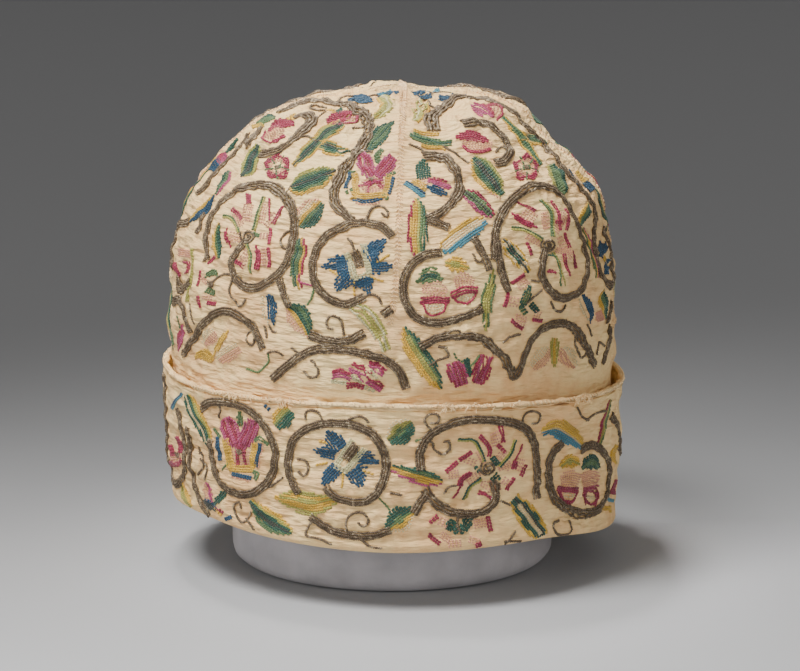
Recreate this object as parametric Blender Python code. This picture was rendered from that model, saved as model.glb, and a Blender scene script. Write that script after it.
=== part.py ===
"""Embroidered linen cap with a turned-up cuff, on a plain padded stand.

The crown is one cloth: a ring of linen whose upper half is cut into four pointed gores, sewn edge to edge
and meeting at the top. Its lower edge turns outwards and up again as a deep cuff, finished by a rolled hem.
Metres, +Z up, the front faces -Y, and the origin is the middle of the stand's foot.
Azimuth is in degrees: 0 at the front, 90 at the right (+X), 180 at the back, -90 at the left.
"""

import collections
import math

import bmesh
import bpy
from mathutils import Vector
from mathutils.bvhtree import BVHTree

MM = 0.001

# Linen worked with thread, one layer of it
CLOTH = 1.2 * MM
# Clearance left between pieces that touch
SEAT_GAP = 0.3 * MM
# The sides of the cap, as azimuths
FRONT, RIGHT, BACK, LEFT = 0.0, 90.0, 180.0, 270.0

# Crown: a row for each level, with the reach of its outer face from the middle of that level.
# The middle of the top stands to the right of the stand's axis.
CrownLevel = collections.namedtuple("CrownLevel", "height left right front back")
CROWN_LEVELS = (
    CrownLevel(24.0, 90.5, 91.0, 91.5, 91.0),
    CrownLevel(50.0, 90.8, 91.5, 91.8, 91.5),
    CrownLevel(76.0, 91.5, 91.8, 92.3, 92.0),
    CrownLevel(87.0, 92.2, 92.4, 92.8, 92.5),
    CrownLevel(97.0, 93.0, 93.2, 95.0, 94.0),
    CrownLevel(111.0, 93.4, 92.2, 94.6, 94.0),
    CrownLevel(125.0, 94.0, 92.6, 93.8, 93.2),
    CrownLevel(139.0, 92.6, 86.6, 91.0, 90.6),
    CrownLevel(151.0, 90.2, 84.2, 86.8, 86.4),
    CrownLevel(160.0, 84.6, 78.6, 81.6, 81.0),
    CrownLevel(168.0, 77.8, 72.3, 75.6, 75.0),
    CrownLevel(175.5, 70.8, 64.6, 68.4, 68.0),
    CrownLevel(182.0, 65.8, 57.8, 62.0, 62.0),
    CrownLevel(188.0, 55.2, 54.4, 55.0, 55.0),
    CrownLevel(193.0, 43.4, 46.4, 45.0, 45.0),
    CrownLevel(196.7, 31.0, 31.5, 31.0, 31.0),
    CrownLevel(199.3, 16.5, 16.5, 16.5, 16.5),
    CrownLevel(200.6, 2.2, 2.2, 2.2, 2.2),
)
TOP_OFFSET = 4.4 * MM
TOP_OFFSET_FROM = 95.0 * MM
TOP_OFFSET_FULL = 165.0 * MM
# Dents and puffs fade out between these two distances from the middle of the top
TOP_CALM = (5.0 * MM, 40.0 * MM)
# Below this height the rows follow the cuff's fold up and down; above it they run level
CROWN_LEVEL_FROM = 87.0 * MM
CROWN_ROWS = 27
CROWN_RISES = [row / (CROWN_ROWS - 1) for row in range(CROWN_ROWS)]
GORE_COLUMNS = 12
# How far apart two points are taken to find the slope between them
NEAR_TURN = 1.0
NEAR_RISE = 0.004

# The gores: where their seams run, how far down they reach, and how far each gore puffs out between two seams
SEAM_AZIMUTHS = (FRONT, RIGHT, BACK, LEFT)
SEAM_FOOT = 100.0 * MM
SEAM_SLIT = 0.5 * MM
GORE_PUFF = 1.5 * MM
GORE_PUFF_OVER = 40.0 * MM

# The ridge of stitches along each seam, and its cut outline as shares of half its width and of its height
SEAM_WIDTH = 3.0 * MM
SEAM_HEIGHT = 0.6 * MM
RIDGE_OUTLINE = ((-1.0, 0.0), (1.0, 0.0), (0.62, 0.8), (0.0, 1.0), (-0.62, 0.8))
RIDGE_SEARCH = 5.0 * MM

# Dents pressed into the crown: middle, half sizes in degrees and millimetres, and depth
Dent = collections.namedtuple("Dent", "azimuth height half_width half_height depth")
CROWN_DENTS = (
    Dent(-50.0, 93.0, 24.0, 7.0, 1.8),
    Dent(38.0, 92.0, 30.0, 5.0, 1.2),
    Dent(64.0, 142.0, 12.0, 9.0, 1.4),
    Dent(-62.0, 143.0, 12.0, 9.0, 1.2),
    Dent(-66.0, 172.0, 14.0, 10.0, 1.6),
    Dent(62.0, 184.0, 16.0, 6.0, 1.8),
    Dent(22.0, 119.0, 22.0, 4.0, 0.9),
    Dent(150.0, 96.0, 30.0, 7.0, 1.6),
    Dent(-140.0, 150.0, 18.0, 12.0, 1.4),
    Dent(118.0, 168.0, 16.0, 10.0, 1.5),
)

# Cuff: a row for each azimuth, with the heights of its fold and its hem, and its outer face's reach at both
CuffStation = collections.namedtuple("CuffStation", "azimuth fold top fold_reach top_reach")
CUFF_STATIONS = (
    CuffStation(-180.0, 20.0, 83.0, 94.8, 96.6),
    CuffStation(-135.0, 23.0, 85.0, 94.2, 96.6),
    CuffStation(-90.0, 26.0, 86.0, 93.4, 96.2),
    CuffStation(-58.0, 29.5, 84.5, 93.8, 96.2),
    CuffStation(-32.0, 27.0, 85.5, 95.0, 96.6),
    CuffStation(0.0, 24.5, 86.0, 95.6, 97.0),
    CuffStation(42.0, 24.5, 82.5, 95.7, 96.8),
    CuffStation(68.0, 18.5, 79.5, 95.6, 96.8),
    CuffStation(92.0, 14.5, 78.5, 94.6, 97.4),
    CuffStation(136.0, 16.5, 80.5, 94.6, 96.8),
)
CUFF_COLUMNS = 56
CUFF_ROWS = 5
CUFF_BULGE = 0.4 * MM
FOLD_RISE = 3.2 * MM
FOLD_LEG = 0.6 * MM
FOLD_STEPS = 5
HEM_RADIUS = 1.15 * MM
HEM_SIDES = 8

# Stand: a plain padded drum, whose domed top carries the crown from inside
STAND_RADIUS = 68.0 * MM
STAND_EDGE = 6.0 * MM
STAND_EDGE_STEPS = 4
STAND_SHOULDER = 150.0 * MM
STAND_BROW = 164.0 * MM
STAND_BROW_RADIUS = 65.5 * MM
STAND_COLUMNS = 52
DOME_REACH = 56.0 * MM

LINEN_COLOUR = (0.78, 0.62, 0.44, 1.0)
SEAM_COLOUR = (0.76, 0.58, 0.42, 1.0)
STAND_COLOUR = (0.72, 0.72, 0.74, 1.0)


def smooth_step(value, low, high):
    share = min(1.0, max(0.0, (value - low) / (high - low)))
    return share * share * (3.0 - 2.0 * share)


def spline(before, start, end, after, share):
    """A value between start and end on the smooth curve through four evenly numbered ones."""
    return 0.5 * (
        2.0 * start
        + (end - before) * share
        + (2.0 * before - 5.0 * start + 4.0 * end - after) * share**2
        + (3.0 * start - before - 3.0 * end + after) * share**3
    )


def turn_between(azimuth, other):
    """The signed turn from one azimuth to another, from -180 to 180 degrees."""
    return (other - azimuth + 180.0) % 360.0 - 180.0


def outward(azimuth):
    angle = math.radians(azimuth)
    return Vector((math.sin(angle), -math.cos(angle), 0.0))


def crown_level(rise):
    """The crown's row at a level from 0, at its lower edge, to 1, at the top, in metres."""
    place = rise * (len(CROWN_LEVELS) - 1)
    first = min(int(place), len(CROWN_LEVELS) - 2)
    rows = [CROWN_LEVELS[min(max(i, 0), len(CROWN_LEVELS) - 1)] for i in range(first - 1, first + 3)]
    return CrownLevel(*(spline(*column, place - first) * MM for column in zip(*rows)))


def cuff_station(azimuth):
    """The cuff's row at any azimuth, in metres."""
    count = len(CUFF_STATIONS)
    turns = [(azimuth - station.azimuth) % 360.0 for station in CUFF_STATIONS]
    first = turns.index(min(turns))
    start, end = (CUFF_STATIONS[(first + i) % count] for i in (0, 1))
    share = turns[first] / ((end.azimuth - start.azimuth) % 360.0)
    rows = [CUFF_STATIONS[(first + i) % count] for i in (-1, 0, 1, 2)]
    values = (spline(*column, share) * MM for column in list(zip(*rows))[1:])
    return CuffStation(azimuth, *values)


def crown_point(azimuth, rise):
    """A point of the crown's outer face."""
    level = crown_level(rise)
    angle = math.radians(azimuth)
    side, ahead = math.sin(angle), math.cos(angle)
    reach = (level.right if side > 0 else level.left) * side**2
    reach += (level.front if ahead > 0 else level.back) * ahead**2
    gored = smooth_step(level.height, SEAM_FOOT, SEAM_FOOT + GORE_PUFF_OVER)
    near_top = smooth_step(reach, *TOP_CALM)
    reach += GORE_PUFF * gored * near_top * math.sin(2.0 * angle) ** 2
    for dent in CROWN_DENTS:
        across = turn_between(azimuth, dent.azimuth) / dent.half_width
        along = (level.height / MM - dent.height) / dent.half_height
        reach -= dent.depth * MM * near_top * math.exp(-(across**2) - along**2)
    low_edge = cuff_station(azimuth).fold + FOLD_RISE + SEAT_GAP
    start = CROWN_LEVELS[0].height * MM
    hang = (low_edge - start) * (1.0 - smooth_step(level.height, start, CROWN_LEVEL_FROM))
    middle = TOP_OFFSET * smooth_step(level.height, TOP_OFFSET_FROM, TOP_OFFSET_FULL)
    return outward(azimuth) * reach + Vector((middle, 0.0, level.height + hang))


def crown_normal(azimuth, rise):
    """The crown's outward direction at that point."""
    across = crown_point(azimuth + NEAR_TURN, rise) - crown_point(azimuth - NEAR_TURN, rise)
    above, below = min(1.0, rise + NEAR_RISE), max(0.0, rise - NEAR_RISE)
    along = crown_point(azimuth, above) - crown_point(azimuth, below)
    return across.cross(along).normalized()


def crown_rise_at(height):
    """The level whose height is the one given."""
    low, high = 0.0, 1.0
    while high - low > 1e-5:
        middle = (low + high) / 2.0
        if crown_level(middle).height < height:
            low = middle
        else:
            high = middle
    return low


def seam_foot_row():
    """The row of the crown where its slits end."""
    foot = crown_rise_at(SEAM_FOOT)
    return min(range(CROWN_ROWS), key=lambda row: abs(CROWN_RISES[row] - foot))


def gore_columns(rise):
    """The azimuths of a row of the crown: each gore's columns, from one slit's edge to the next."""
    columns = []
    radius = crown_level(rise).front
    slit = math.degrees(math.asin(SEAM_SLIT / 2.0 / radius))
    for seam in SEAM_AZIMUTHS:
        width = 90.0 - 2.0 * slit
        columns += [seam + slit + width * i / GORE_COLUMNS for i in range(GORE_COLUMNS + 1)]
    return columns


def material(name, colour, roughness):
    made = bpy.data.materials.new(name)
    made.use_nodes = True
    shader = made.node_tree.nodes["Principled BSDF"]
    shader.inputs["Base Color"].default_value = colour
    shader.inputs["Roughness"].default_value = roughness
    shader.inputs["Metallic"].default_value = 0.0
    return made


def node_from(name, points, faces, finish):
    """A mesh object of its own, shaded smooth, with its faces pointing out."""
    mesh = bpy.data.meshes.new(name)
    mesh.from_pydata([tuple(point) for point in points], [], faces)
    body = bmesh.new()
    body.from_mesh(mesh)
    bmesh.ops.recalc_face_normals(body, faces=body.faces)
    body.to_mesh(mesh)
    body.free()
    mesh.shade_smooth()
    mesh.set_sharp_from_angle(angle=math.radians(50.0))
    made = bpy.data.objects.new(name, mesh)
    made.data.materials.append(finish)
    bpy.context.scene.collection.objects.link(made)
    return made


def ring_faces(rings, sides, close_rings):
    """Quads between rings of as many points, which are numbered ring after ring."""
    faces = []
    for ring in range(rings if close_rings else rings - 1):
        start, following = ring * sides, (ring + 1) % rings * sides
        for side in range(sides):
            after = (side + 1) % sides
            faces.append((start + side, start + after, following + after, following + side))
    return faces


def make_crown(finish):
    """One wall of cloth: a closed ring below, and four tongues with a slit between them above."""
    foot_row = seam_foot_row()
    columns = len(SEAM_AZIMUTHS) * (GORE_COLUMNS + 1)
    points = []
    for rise in CROWN_RISES:
        for azimuth in gore_columns(rise):
            outer = crown_point(azimuth, rise)
            points += [outer, outer - crown_normal(azimuth, rise) * CLOTH]

    def corner(row, column, inner):
        return 2 * (row * columns + column % columns) + inner

    faces = []
    last = CROWN_ROWS - 1
    for column in range(columns):
        after = column + 1
        slit = column % (GORE_COLUMNS + 1) == GORE_COLUMNS
        rows = foot_row if slit else last
        for row in range(rows):
            for inner in (0, 1):
                faces.append(
                    (
                        corner(row, column, inner),
                        corner(row, after, inner),
                        corner(row + 1, after, inner),
                        corner(row + 1, column, inner),
                    )
                )
        for row in (0, rows):
            faces.append(
                (corner(row, column, 0), corner(row, after, 0), corner(row, after, 1), corner(row, column, 1))
            )
        for row in range(foot_row, last) if slit else ():
            for edge in (column, after):
                upper, lower = [(corner(level, edge, 0), corner(level, edge, 1)) for level in (row + 1, row)]
                faces.append((lower[0], upper[0], upper[1], lower[1]))
    return node_from("crown", points, faces, finish)


def cuff_section(azimuth):
    """The cuff's cut outline: a hook whose short inner leg meets the crown's lower edge."""
    station = cuff_station(azimuth)
    leg = crown_point(azimuth, 0.0)
    leg_outer = math.hypot(leg.x, leg.y)
    leg_inner = leg_outer - CLOTH
    bend = station.fold + FOLD_RISE - FOLD_LEG
    cloth_top = station.top - 2.0 * HEM_RADIUS - SEAT_GAP

    def wall(share):
        bulge = CUFF_BULGE * math.sin(math.pi * share)
        return station.fold_reach + (station.top_reach - station.fold_reach) * share + bulge

    def bottom(inner, outer, low):
        middle, half = (inner + outer) / 2.0, (outer - inner) / 2.0
        angles = [math.pi * (i + 1) / (FOLD_STEPS + 1) for i in range(FOLD_STEPS)]
        return [(middle - half * math.cos(a), bend - (bend - low) * math.sin(a)) for a in angles]

    shares = [i / CUFF_ROWS for i in range(CUFF_ROWS + 1)]
    heights = [bend + (cloth_top - bend) * share for share in shares]
    outline = [(leg_inner, station.fold + FOLD_RISE), (leg_inner, bend)]
    outline += bottom(leg_inner, wall(0.0), station.fold)
    outline += [(wall(share), height) for share, height in zip(shares, heights)]
    outline += [(wall(share) - CLOTH, height) for share, height in zip(shares[::-1], heights[::-1])]
    outline += bottom(leg_outer, wall(0.0) - CLOTH, station.fold + CLOTH)[::-1]
    outline += [(leg_outer, bend), (leg_outer, station.fold + FOLD_RISE)]
    return outline


def make_cuff(finish):
    points = []
    for column in range(CUFF_COLUMNS):
        azimuth = 360.0 * column / CUFF_COLUMNS
        section = cuff_section(azimuth)
        points += [outward(azimuth) * reach + Vector((0.0, 0.0, height)) for reach, height in section]
    return node_from("cuff", points, ring_faces(CUFF_COLUMNS, len(section), True), finish)


def make_hem(finish):
    """The rolled edge that lies along the top of the cuff."""
    points = []
    for column in range(CUFF_COLUMNS):
        azimuth = 360.0 * column / CUFF_COLUMNS
        station = cuff_station(azimuth)
        middle = outward(azimuth) * (station.top_reach - CLOTH / 2.0)
        middle += Vector((0.0, 0.0, station.top - HEM_RADIUS))
        for side in range(HEM_SIDES):
            angle = 2.0 * math.pi * (side + 0.5) / HEM_SIDES
            up = Vector((0.0, 0.0, math.sin(angle)))
            points.append(middle + (outward(azimuth) * math.cos(angle) + up) * HEM_RADIUS)
    return node_from("rolled_hem", points, ring_faces(CUFF_COLUMNS, HEM_SIDES, True), finish)


def seam_path(azimuths):
    """Points up one seam, and over the top and down the opposite one if two are named."""
    steps = CROWN_RISES[seam_foot_row():]
    path = [crown_point(azimuths[0], rise) for rise in steps]
    if len(azimuths) > 1:
        path += [crown_point(azimuths[1], rise) for rise in reversed(steps)]
    else:
        top = crown_point(0.0, 1.0)
        clear = SEAM_WIDTH / 2.0 + SEAT_GAP
        path = [point for point in path if abs(point.x - top.x) > clear]
        path.append(Vector((top.x + math.copysign(clear, path[-1].x - top.x), 0.0, top.z)))
    return path


def make_seam(name, azimuths, crown, finish):
    """A low ridge of oversewn edges that lies along a seam, lifted just clear of the crown."""
    cloth = BVHTree.FromObject(crown, bpy.context.evaluated_depsgraph_get())
    path = seam_path(azimuths)
    points = []
    for i, point in enumerate(path):
        ahead = (path[min(i + 1, len(path) - 1)] - path[max(i - 1, 0)]).normalized()
        level = outward(azimuths[0] + 90.0)
        up = level.cross(ahead)
        up = up if up.dot(point - Vector((0.0, 0.0, SEAM_FOOT))) > 0 else -up
        for side, lift in RIDGE_OUTLINE:
            place = point + level * side * SEAM_WIDTH / 2.0
            found = cloth.ray_cast(place + up * RIDGE_SEARCH, -up, RIDGE_SEARCH + CLOTH)[0]
            points.append((found or place) + up * (SEAT_GAP + SEAM_HEIGHT * lift))
    sides = len(RIDGE_OUTLINE)
    faces = ring_faces(len(path), sides, False)
    faces += [tuple(range(sides)), tuple((len(path) - 1) * sides + i for i in range(sides))]
    return node_from(name, points, faces, finish)


def make_stand(finish):
    """A padded drum: flat foot, rounded lower edge, straight side, and a dome just under the crown."""
    columns = [360.0 * i / STAND_COLUMNS for i in range(STAND_COLUMNS)]
    rings = []
    for step in range(STAND_EDGE_STEPS + 1):
        angle = math.pi / 2.0 * step / STAND_EDGE_STEPS
        reach = STAND_RADIUS - STAND_EDGE * (1.0 - math.sin(angle))
        height = STAND_EDGE * (1.0 - math.cos(angle))
        rings.append([outward(a) * reach + Vector((0.0, 0.0, height)) for a in columns])
    for reach, height in ((STAND_RADIUS, STAND_SHOULDER), (STAND_BROW_RADIUS, STAND_BROW)):
        rings.append([outward(a) * reach + Vector((0.0, 0.0, height)) for a in columns])
    for rise in CROWN_RISES:
        if crown_level(rise).front < DOME_REACH:
            depth = CLOTH + SEAT_GAP
            rings.append([crown_point(a, rise) - crown_normal(a, rise) * depth for a in columns])
    points = [point for ring in rings for point in ring]
    faces = ring_faces(len(rings), STAND_COLUMNS, False)
    last = (len(rings) - 1) * STAND_COLUMNS
    faces += [tuple(range(STAND_COLUMNS)), tuple(last + i for i in range(STAND_COLUMNS))]
    return node_from("padded_stand", points, faces, finish)


for leftover in list(bpy.data.objects):
    bpy.data.objects.remove(leftover)

linen = material("linen", LINEN_COLOUR, 0.85)
seam_linen = material("seam_thread", SEAM_COLOUR, 0.8)
stand_cover = material("stand_cover", STAND_COLOUR, 0.9)

crown_node = make_crown(linen)
make_seam("seam_front_to_back", (FRONT, BACK), crown_node, seam_linen)
make_seam("seam_right", (RIGHT,), crown_node, seam_linen)
make_seam("seam_left", (LEFT,), crown_node, seam_linen)
make_cuff(linen)
make_hem(seam_linen)
make_stand(stand_cover)
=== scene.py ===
"""An embroidered linen cap with a turned-up cuff, on its plain padded stand.

Metres, +Z up, and the front faces -Y. Azimuth is 0 at the front and 90 at the right (+X).
The embroidery is charted in pixels of an 800 by 671 image, and cast from the camera on to the cloth.
"""

import collections
import math

import bmesh
import bpy
import numpy as np
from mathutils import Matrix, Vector
from mathutils.bvhtree import BVHTree
from mathutils.kdtree import KDTree


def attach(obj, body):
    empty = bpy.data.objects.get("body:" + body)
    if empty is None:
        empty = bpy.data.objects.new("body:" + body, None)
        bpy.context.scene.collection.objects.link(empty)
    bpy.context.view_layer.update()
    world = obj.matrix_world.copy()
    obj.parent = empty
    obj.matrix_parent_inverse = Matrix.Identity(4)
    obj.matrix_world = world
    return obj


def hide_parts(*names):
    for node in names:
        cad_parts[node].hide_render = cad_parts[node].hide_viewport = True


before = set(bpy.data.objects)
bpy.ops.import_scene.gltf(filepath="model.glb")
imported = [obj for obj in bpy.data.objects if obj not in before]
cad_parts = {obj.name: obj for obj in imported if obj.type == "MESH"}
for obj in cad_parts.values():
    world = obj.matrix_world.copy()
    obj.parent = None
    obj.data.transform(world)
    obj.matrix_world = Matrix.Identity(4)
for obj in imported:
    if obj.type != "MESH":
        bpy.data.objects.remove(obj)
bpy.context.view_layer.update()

MM = 0.001
# Where lines towards the object start, outside all of it
FAR = 0.4
SEED = 1610
rng = np.random.default_rng(SEED)

# The padded stand
# A drum of padding in a cover of pale grey jersey, which is drawn tight and creases a little at the foot.
# The cap sits over its domed top.


def cad_points(name):
    return np.array([vertex.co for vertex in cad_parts[name].data.vertices])


def tree_over(points, faces):
    return BVHTree.FromPolygons([Vector(point) for point in points], [tuple(face) for face in faces])


def cad_tree(name):
    return tree_over(cad_points(name), [face.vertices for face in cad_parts[name].data.polygons])


def ramp(values, low, high):
    """0 at low and below, 1 at high and above."""
    return np.clip((values - low) / (high - low), 0.0, 1.0)


def blurred(values, rows, columns):
    """A grid smoothed over that many rows and columns; its columns run round and meet."""
    margin = int(4 * rows) + 2
    spread = np.pad(values, ((margin, margin), (0, 0)), mode="reflect")
    down = np.fft.fftfreq(spread.shape[0])[:, None]
    along = np.fft.fftfreq(spread.shape[1])[None, :]
    kept = np.exp(-2.0 * (np.pi * rows * down) ** 2 - 2.0 * (np.pi * columns * along) ** 2)
    return np.real(np.fft.ifft2(np.fft.fft2(spread) * kept))[margin:-margin]


def round_line(values, columns):
    """Values round the cap, smoothed over that many columns."""
    return blurred(np.repeat(values[None, :], 3, axis=0), rows=0.1, columns=columns)[0]


def waves(shape, rows, columns):
    """Soft random waves of unit size, that many rows and columns wide."""
    made = blurred(rng.standard_normal(shape), rows, columns)
    return made / made.std()


def directions(azimuths, elevations):
    """Unit vectors of a grid of azimuths and elevations in degrees."""
    a, e = np.radians(azimuths), np.radians(elevations)
    return np.stack([np.sin(a) * np.cos(e), -np.cos(a) * np.cos(e), np.sin(e)], axis=-1)


# A place that strays this far from the middle value of its neighbours takes that value instead
NEAR_COLUMNS = 6
STRAY_BY = 2.0 * MM


def typical(reach):
    """The middle value of each place and its neighbours along the row, without the gaps between them."""
    shifts = range(-NEAR_COLUMNS, NEAR_COLUMNS + 1)
    return np.nanmedian([np.roll(reach, shift, axis=1) for shift in shifts], axis=0)


def star_grid(name, centre, azimuths, elevations):
    """The outer face of a node, where lines from a centre leave it: a row for each elevation."""
    tree = cad_tree(name)
    lines = directions(azimuths[None, :] + 0.0 * elevations, elevations)
    reach = np.full(elevations.shape, np.nan)
    for place in np.ndindex(reach.shape):
        line = Vector(lines[place])
        hit = tree.ray_cast(Vector(centre) + line * FAR, -line, FAR)[0]
        if hit is not None:
            reach[place] = (hit - Vector(centre)).length
    around = typical(reach)
    stray = ~(np.abs(reach - around) < STRAY_BY)
    reach[stray] = around[stray]
    return lines, reach


def normals_of(grid):
    """Outward directions of a grid whose columns run round and whose rows rise."""
    across = np.roll(grid, -1, axis=1) - np.roll(grid, 1, axis=1)
    found = np.cross(across, np.gradient(grid, axis=0))
    return found / np.linalg.norm(found, axis=-1, keepdims=True)


def band_faces(rows, columns, start=0):
    """Quads of a grid of vertices numbered row after row, whose columns run round and meet."""
    row, column = np.meshgrid(np.arange(rows - 1), np.arange(columns), indexing="ij")
    after = (column + 1) % columns
    corners = [row * columns + column, row * columns + after, (row + 1) * columns + after]
    corners.append((row + 1) * columns + column)
    return (start + np.stack(corners, axis=-1).reshape(-1, 4)).tolist()


def fan_faces(ring, columns, tip):
    return [(ring + i, ring + (i + 1) % columns, tip) for i in range(columns)]


def closing_faces(rows, columns):
    """Quads that join the last row of such a grid to its first."""
    last = (rows - 1) * columns
    return [(last + i, last + (i + 1) % columns, (i + 1) % columns, i) for i in range(columns)]


def shown(name, points, faces, material, weave=None, around=0.0):
    """A closed smooth mesh on the frame. Weave gives each vertex its place on the flat cloth, in metres."""
    mesh = bpy.data.meshes.new(name)
    mesh.from_pydata([tuple(point) for point in points], [], faces)
    body = bmesh.new()
    body.from_mesh(mesh)
    bmesh.ops.recalc_face_normals(body, faces=body.faces)
    body.to_mesh(mesh)
    body.free()
    mesh.shade_smooth()
    if weave is not None:
        corner = np.zeros(len(mesh.loops), int)
        mesh.loops.foreach_get("vertex_index", corner)
        sizes = [face.loop_total for face in mesh.polygons]
        face_of = np.repeat(np.arange(len(mesh.polygons)), sizes)
        flat = np.asarray(weave)[corner]
        furthest = np.full(len(mesh.polygons), -np.inf)
        np.maximum.at(furthest, face_of, flat[:, 0])
        flat[furthest[face_of] - flat[:, 0] > around / 2.0, 0] += around
        mesh.uv_layers.new(name="weave").data.foreach_set("uv", flat.astype(np.float32).ravel())
    made = bpy.data.objects.new(name, mesh)
    made.data.materials.append(material)
    bpy.context.scene.collection.objects.link(made)
    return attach(made, "root")


def eye(red, green, blue):
    """A colour judged on a screen, from 0 to 255, as the linear values that a shader takes."""
    return tuple(((c / 255.0 + 0.055) / 1.055) ** 2.4 for c in (red, green, blue)) + (1.0,)


class Field:
    """A socket of a node tree, whose sums and products become maths nodes."""

    def __init__(self, tree, socket):
        self.tree = tree
        self.socket = socket

    def maths(self, operation, *others):
        inputs = dict(enumerate((self, *others)))
        return add_node(self.tree, "ShaderNodeMath", {"operation": operation}, inputs)

    def reflected(self, operation, other):
        return add_node(self.tree, "ShaderNodeMath", {"operation": operation}, {0: other, 1: self})

    def __add__(self, other):
        return self.maths("ADD", other)

    def __radd__(self, other):
        return self.reflected("ADD", other)

    def __sub__(self, other):
        return self.maths("SUBTRACT", other)

    def __rsub__(self, other):
        return self.reflected("SUBTRACT", other)

    def __mul__(self, other):
        return self.maths("MULTIPLY", other)

    def __rmul__(self, other):
        return self.reflected("MULTIPLY", other)

    def __pow__(self, other):
        return self.maths("POWER", other)

    def clipped(self, low, high):
        """0 at low and below, 1 at high and above."""
        inputs = {"Value": self, "From Min": low, "From Max": high}
        return add_node(self.tree, "ShaderNodeMapRange", {"clamp": True}, inputs)


def add_node(tree, kind, settings=None, inputs=None, out=0):
    """A node of any kind with its settings and inputs; the inputs are numbers, colours or fields."""
    node = tree.nodes.new(kind)
    for name, value in (settings or {}).items():
        setattr(node, name, value)
    for name, value in (inputs or {}).items():
        if isinstance(value, Field):
            tree.links.new(value.socket, node.inputs[name])
        else:
            node.inputs[name].default_value = value
    return Field(tree, node.outputs[out])


class Surface:
    """A material: constants set on the shader's own sockets, and nodes for what varies."""

    def __init__(self, name, **constants):
        self.material = bpy.data.materials.new(name)
        self.material.use_nodes = True
        self.tree = self.material.node_tree
        self.shader = self.tree.nodes["Principled BSDF"]
        for label, value in constants.items():
            self.shader.inputs[label.replace("_", " ")].default_value = value

    def node(self, kind, settings=None, inputs=None, out=0):
        return add_node(self.tree, kind, settings, inputs, out)

    def place(self):
        return self.node("ShaderNodeTexCoord", out="Object")

    def weave(self):
        """The place on the flat cloth, along its two threads."""
        at = self.node("ShaderNodeUVMap", {"uv_map": "weave"})
        return [self.node("ShaderNodeSeparateXYZ", inputs={0: at}, out=i) for i in (0, 1)]

    def stretched(self, across, along):
        return self.node("ShaderNodeCombineXYZ", inputs={0: across, 1: along})

    def noise(self, at, scale, detail=2.0):
        return self.node("ShaderNodeTexNoise", inputs={"Vector": at, "Scale": scale, "Detail": detail})

    def attribute(self, name, out="Color"):
        return self.node("ShaderNodeAttribute", {"attribute_name": name}, out=out)

    def mixed(self, first, second, share):
        settings = {"data_type": "RGBA"}
        return self.node("ShaderNodeMix", settings, {0: share, 6: first, 7: second}, out=2)

    def finish(self, height=None, distance=0.3 * MM, **varying):
        if height is not None:
            inputs = {"Height": height, "Distance": distance, "Strength": 1.0}
            varying["Normal"] = self.node("ShaderNodeBump", inputs=inputs)
        for label, value in varying.items():
            self.tree.links.new(value.socket, self.shader.inputs[label.replace("_", " ")])
        return self.material


STAND_COLUMNS = 128
STAND_CENTRE = (0.0, 0.0, 85.0 * MM)
STAND_ELEVATIONS = np.concatenate(
    [np.linspace(-88, -54, 7), np.linspace(-53, -38, 26), np.linspace(-36, 60, 28), np.linspace(63, 88, 10)]
)
# The cover lies this far under the solid's top, to keep clear of the crown
STAND_TOP_UNDER = 0.5 * MM
STAND_CREASE = 0.35 * MM
STAND_CREASED_BELOW = 45.0 * MM
STAND_FOOT_CALM = (1.0 * MM, 5.0 * MM)
# The top sags a little on both sides of the middle, where the crown's seam is ridged
TOP_SAG = 1.8 * MM
TOP_SAG_AT = 17.0 * MM
TOP_SAG_OVER = 11.0 * MM
TOP_SAG_FROM = (168.0 * MM, 188.0 * MM)
TOP_UNDER_FROM = (168.0 * MM, 178.0 * MM)


def top_sag(grid):
    beside_middle = np.exp(-(((np.abs(grid[..., 0]) - TOP_SAG_AT) / TOP_SAG_OVER) ** 2))
    return TOP_SAG * beside_middle * ramp(grid[..., 2], *TOP_SAG_FROM)


jersey = Surface("jersey", Roughness=0.9, Sheen_Weight=0.2, Specular_IOR_Level=0.25)
place = jersey.place()
soft = jersey.noise(place, scale=60.0, detail=3.0)
pile = jersey.noise(place, scale=1500.0)
# The greys are partly the cover's own pale grey and partly painted shade: they are made darker for the shade
# that falls on the stand under the cap
jersey_cloth = jersey.finish(
    Base_Color=jersey.mixed(eye(168, 166, 171), eye(186, 184, 189), soft.clipped(0.35, 0.65)),
    height=pile * 0.35 + soft * 1.2,
    distance=0.25 * MM,
)

azimuths = (np.arange(STAND_COLUMNS) + 0.5) * 360.0 / STAND_COLUMNS
grid_elevations = STAND_ELEVATIONS[:, None] + 0.0 * azimuths[None, :]
lines, reach = star_grid("padded_stand", STAND_CENTRE, azimuths, grid_elevations)
reach = blurred(reach, rows=0.7, columns=2.5)
grid = np.array(STAND_CENTRE) + lines * reach[..., None]
under = STAND_TOP_UNDER * ramp(grid[..., 2], *TOP_UNDER_FROM)
grid -= lines * (top_sag(grid) + under)[..., None]
near_foot = np.clip(1.0 - grid[..., 2] / STAND_CREASED_BELOW, 0.0, 1.0)
crease = waves(reach.shape, rows=7.0, columns=1.2) * near_foot * STAND_CREASE
crease *= ramp(grid[..., 2], *STAND_FOOT_CALM)
grid += lines * crease[..., None]
grid[..., 2] = np.maximum(grid[..., 2], 0.0)
rows = len(STAND_ELEVATIONS)
points = list(grid.reshape(-1, 3)) + [grid[0].mean(axis=0), grid[-1].mean(axis=0)]
foot_tip, top_tip = len(points) - 2, len(points) - 1
faces = band_faces(rows, STAND_COLUMNS)
faces += fan_faces(0, STAND_COLUMNS, foot_tip) + fan_faces((rows - 1) * STAND_COLUMNS, STAND_COLUMNS, top_tip)
stand = shown("stand_cover", points, faces, jersey_cloth)
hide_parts("padded_stand")

# The crown
# One width of cream linen, its upper part cut into four gores. It hangs from its top on the stand, and its
# lower edge meets the cuff. The embroidery pulls it into soft puckers, so the stems are charted here.

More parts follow.
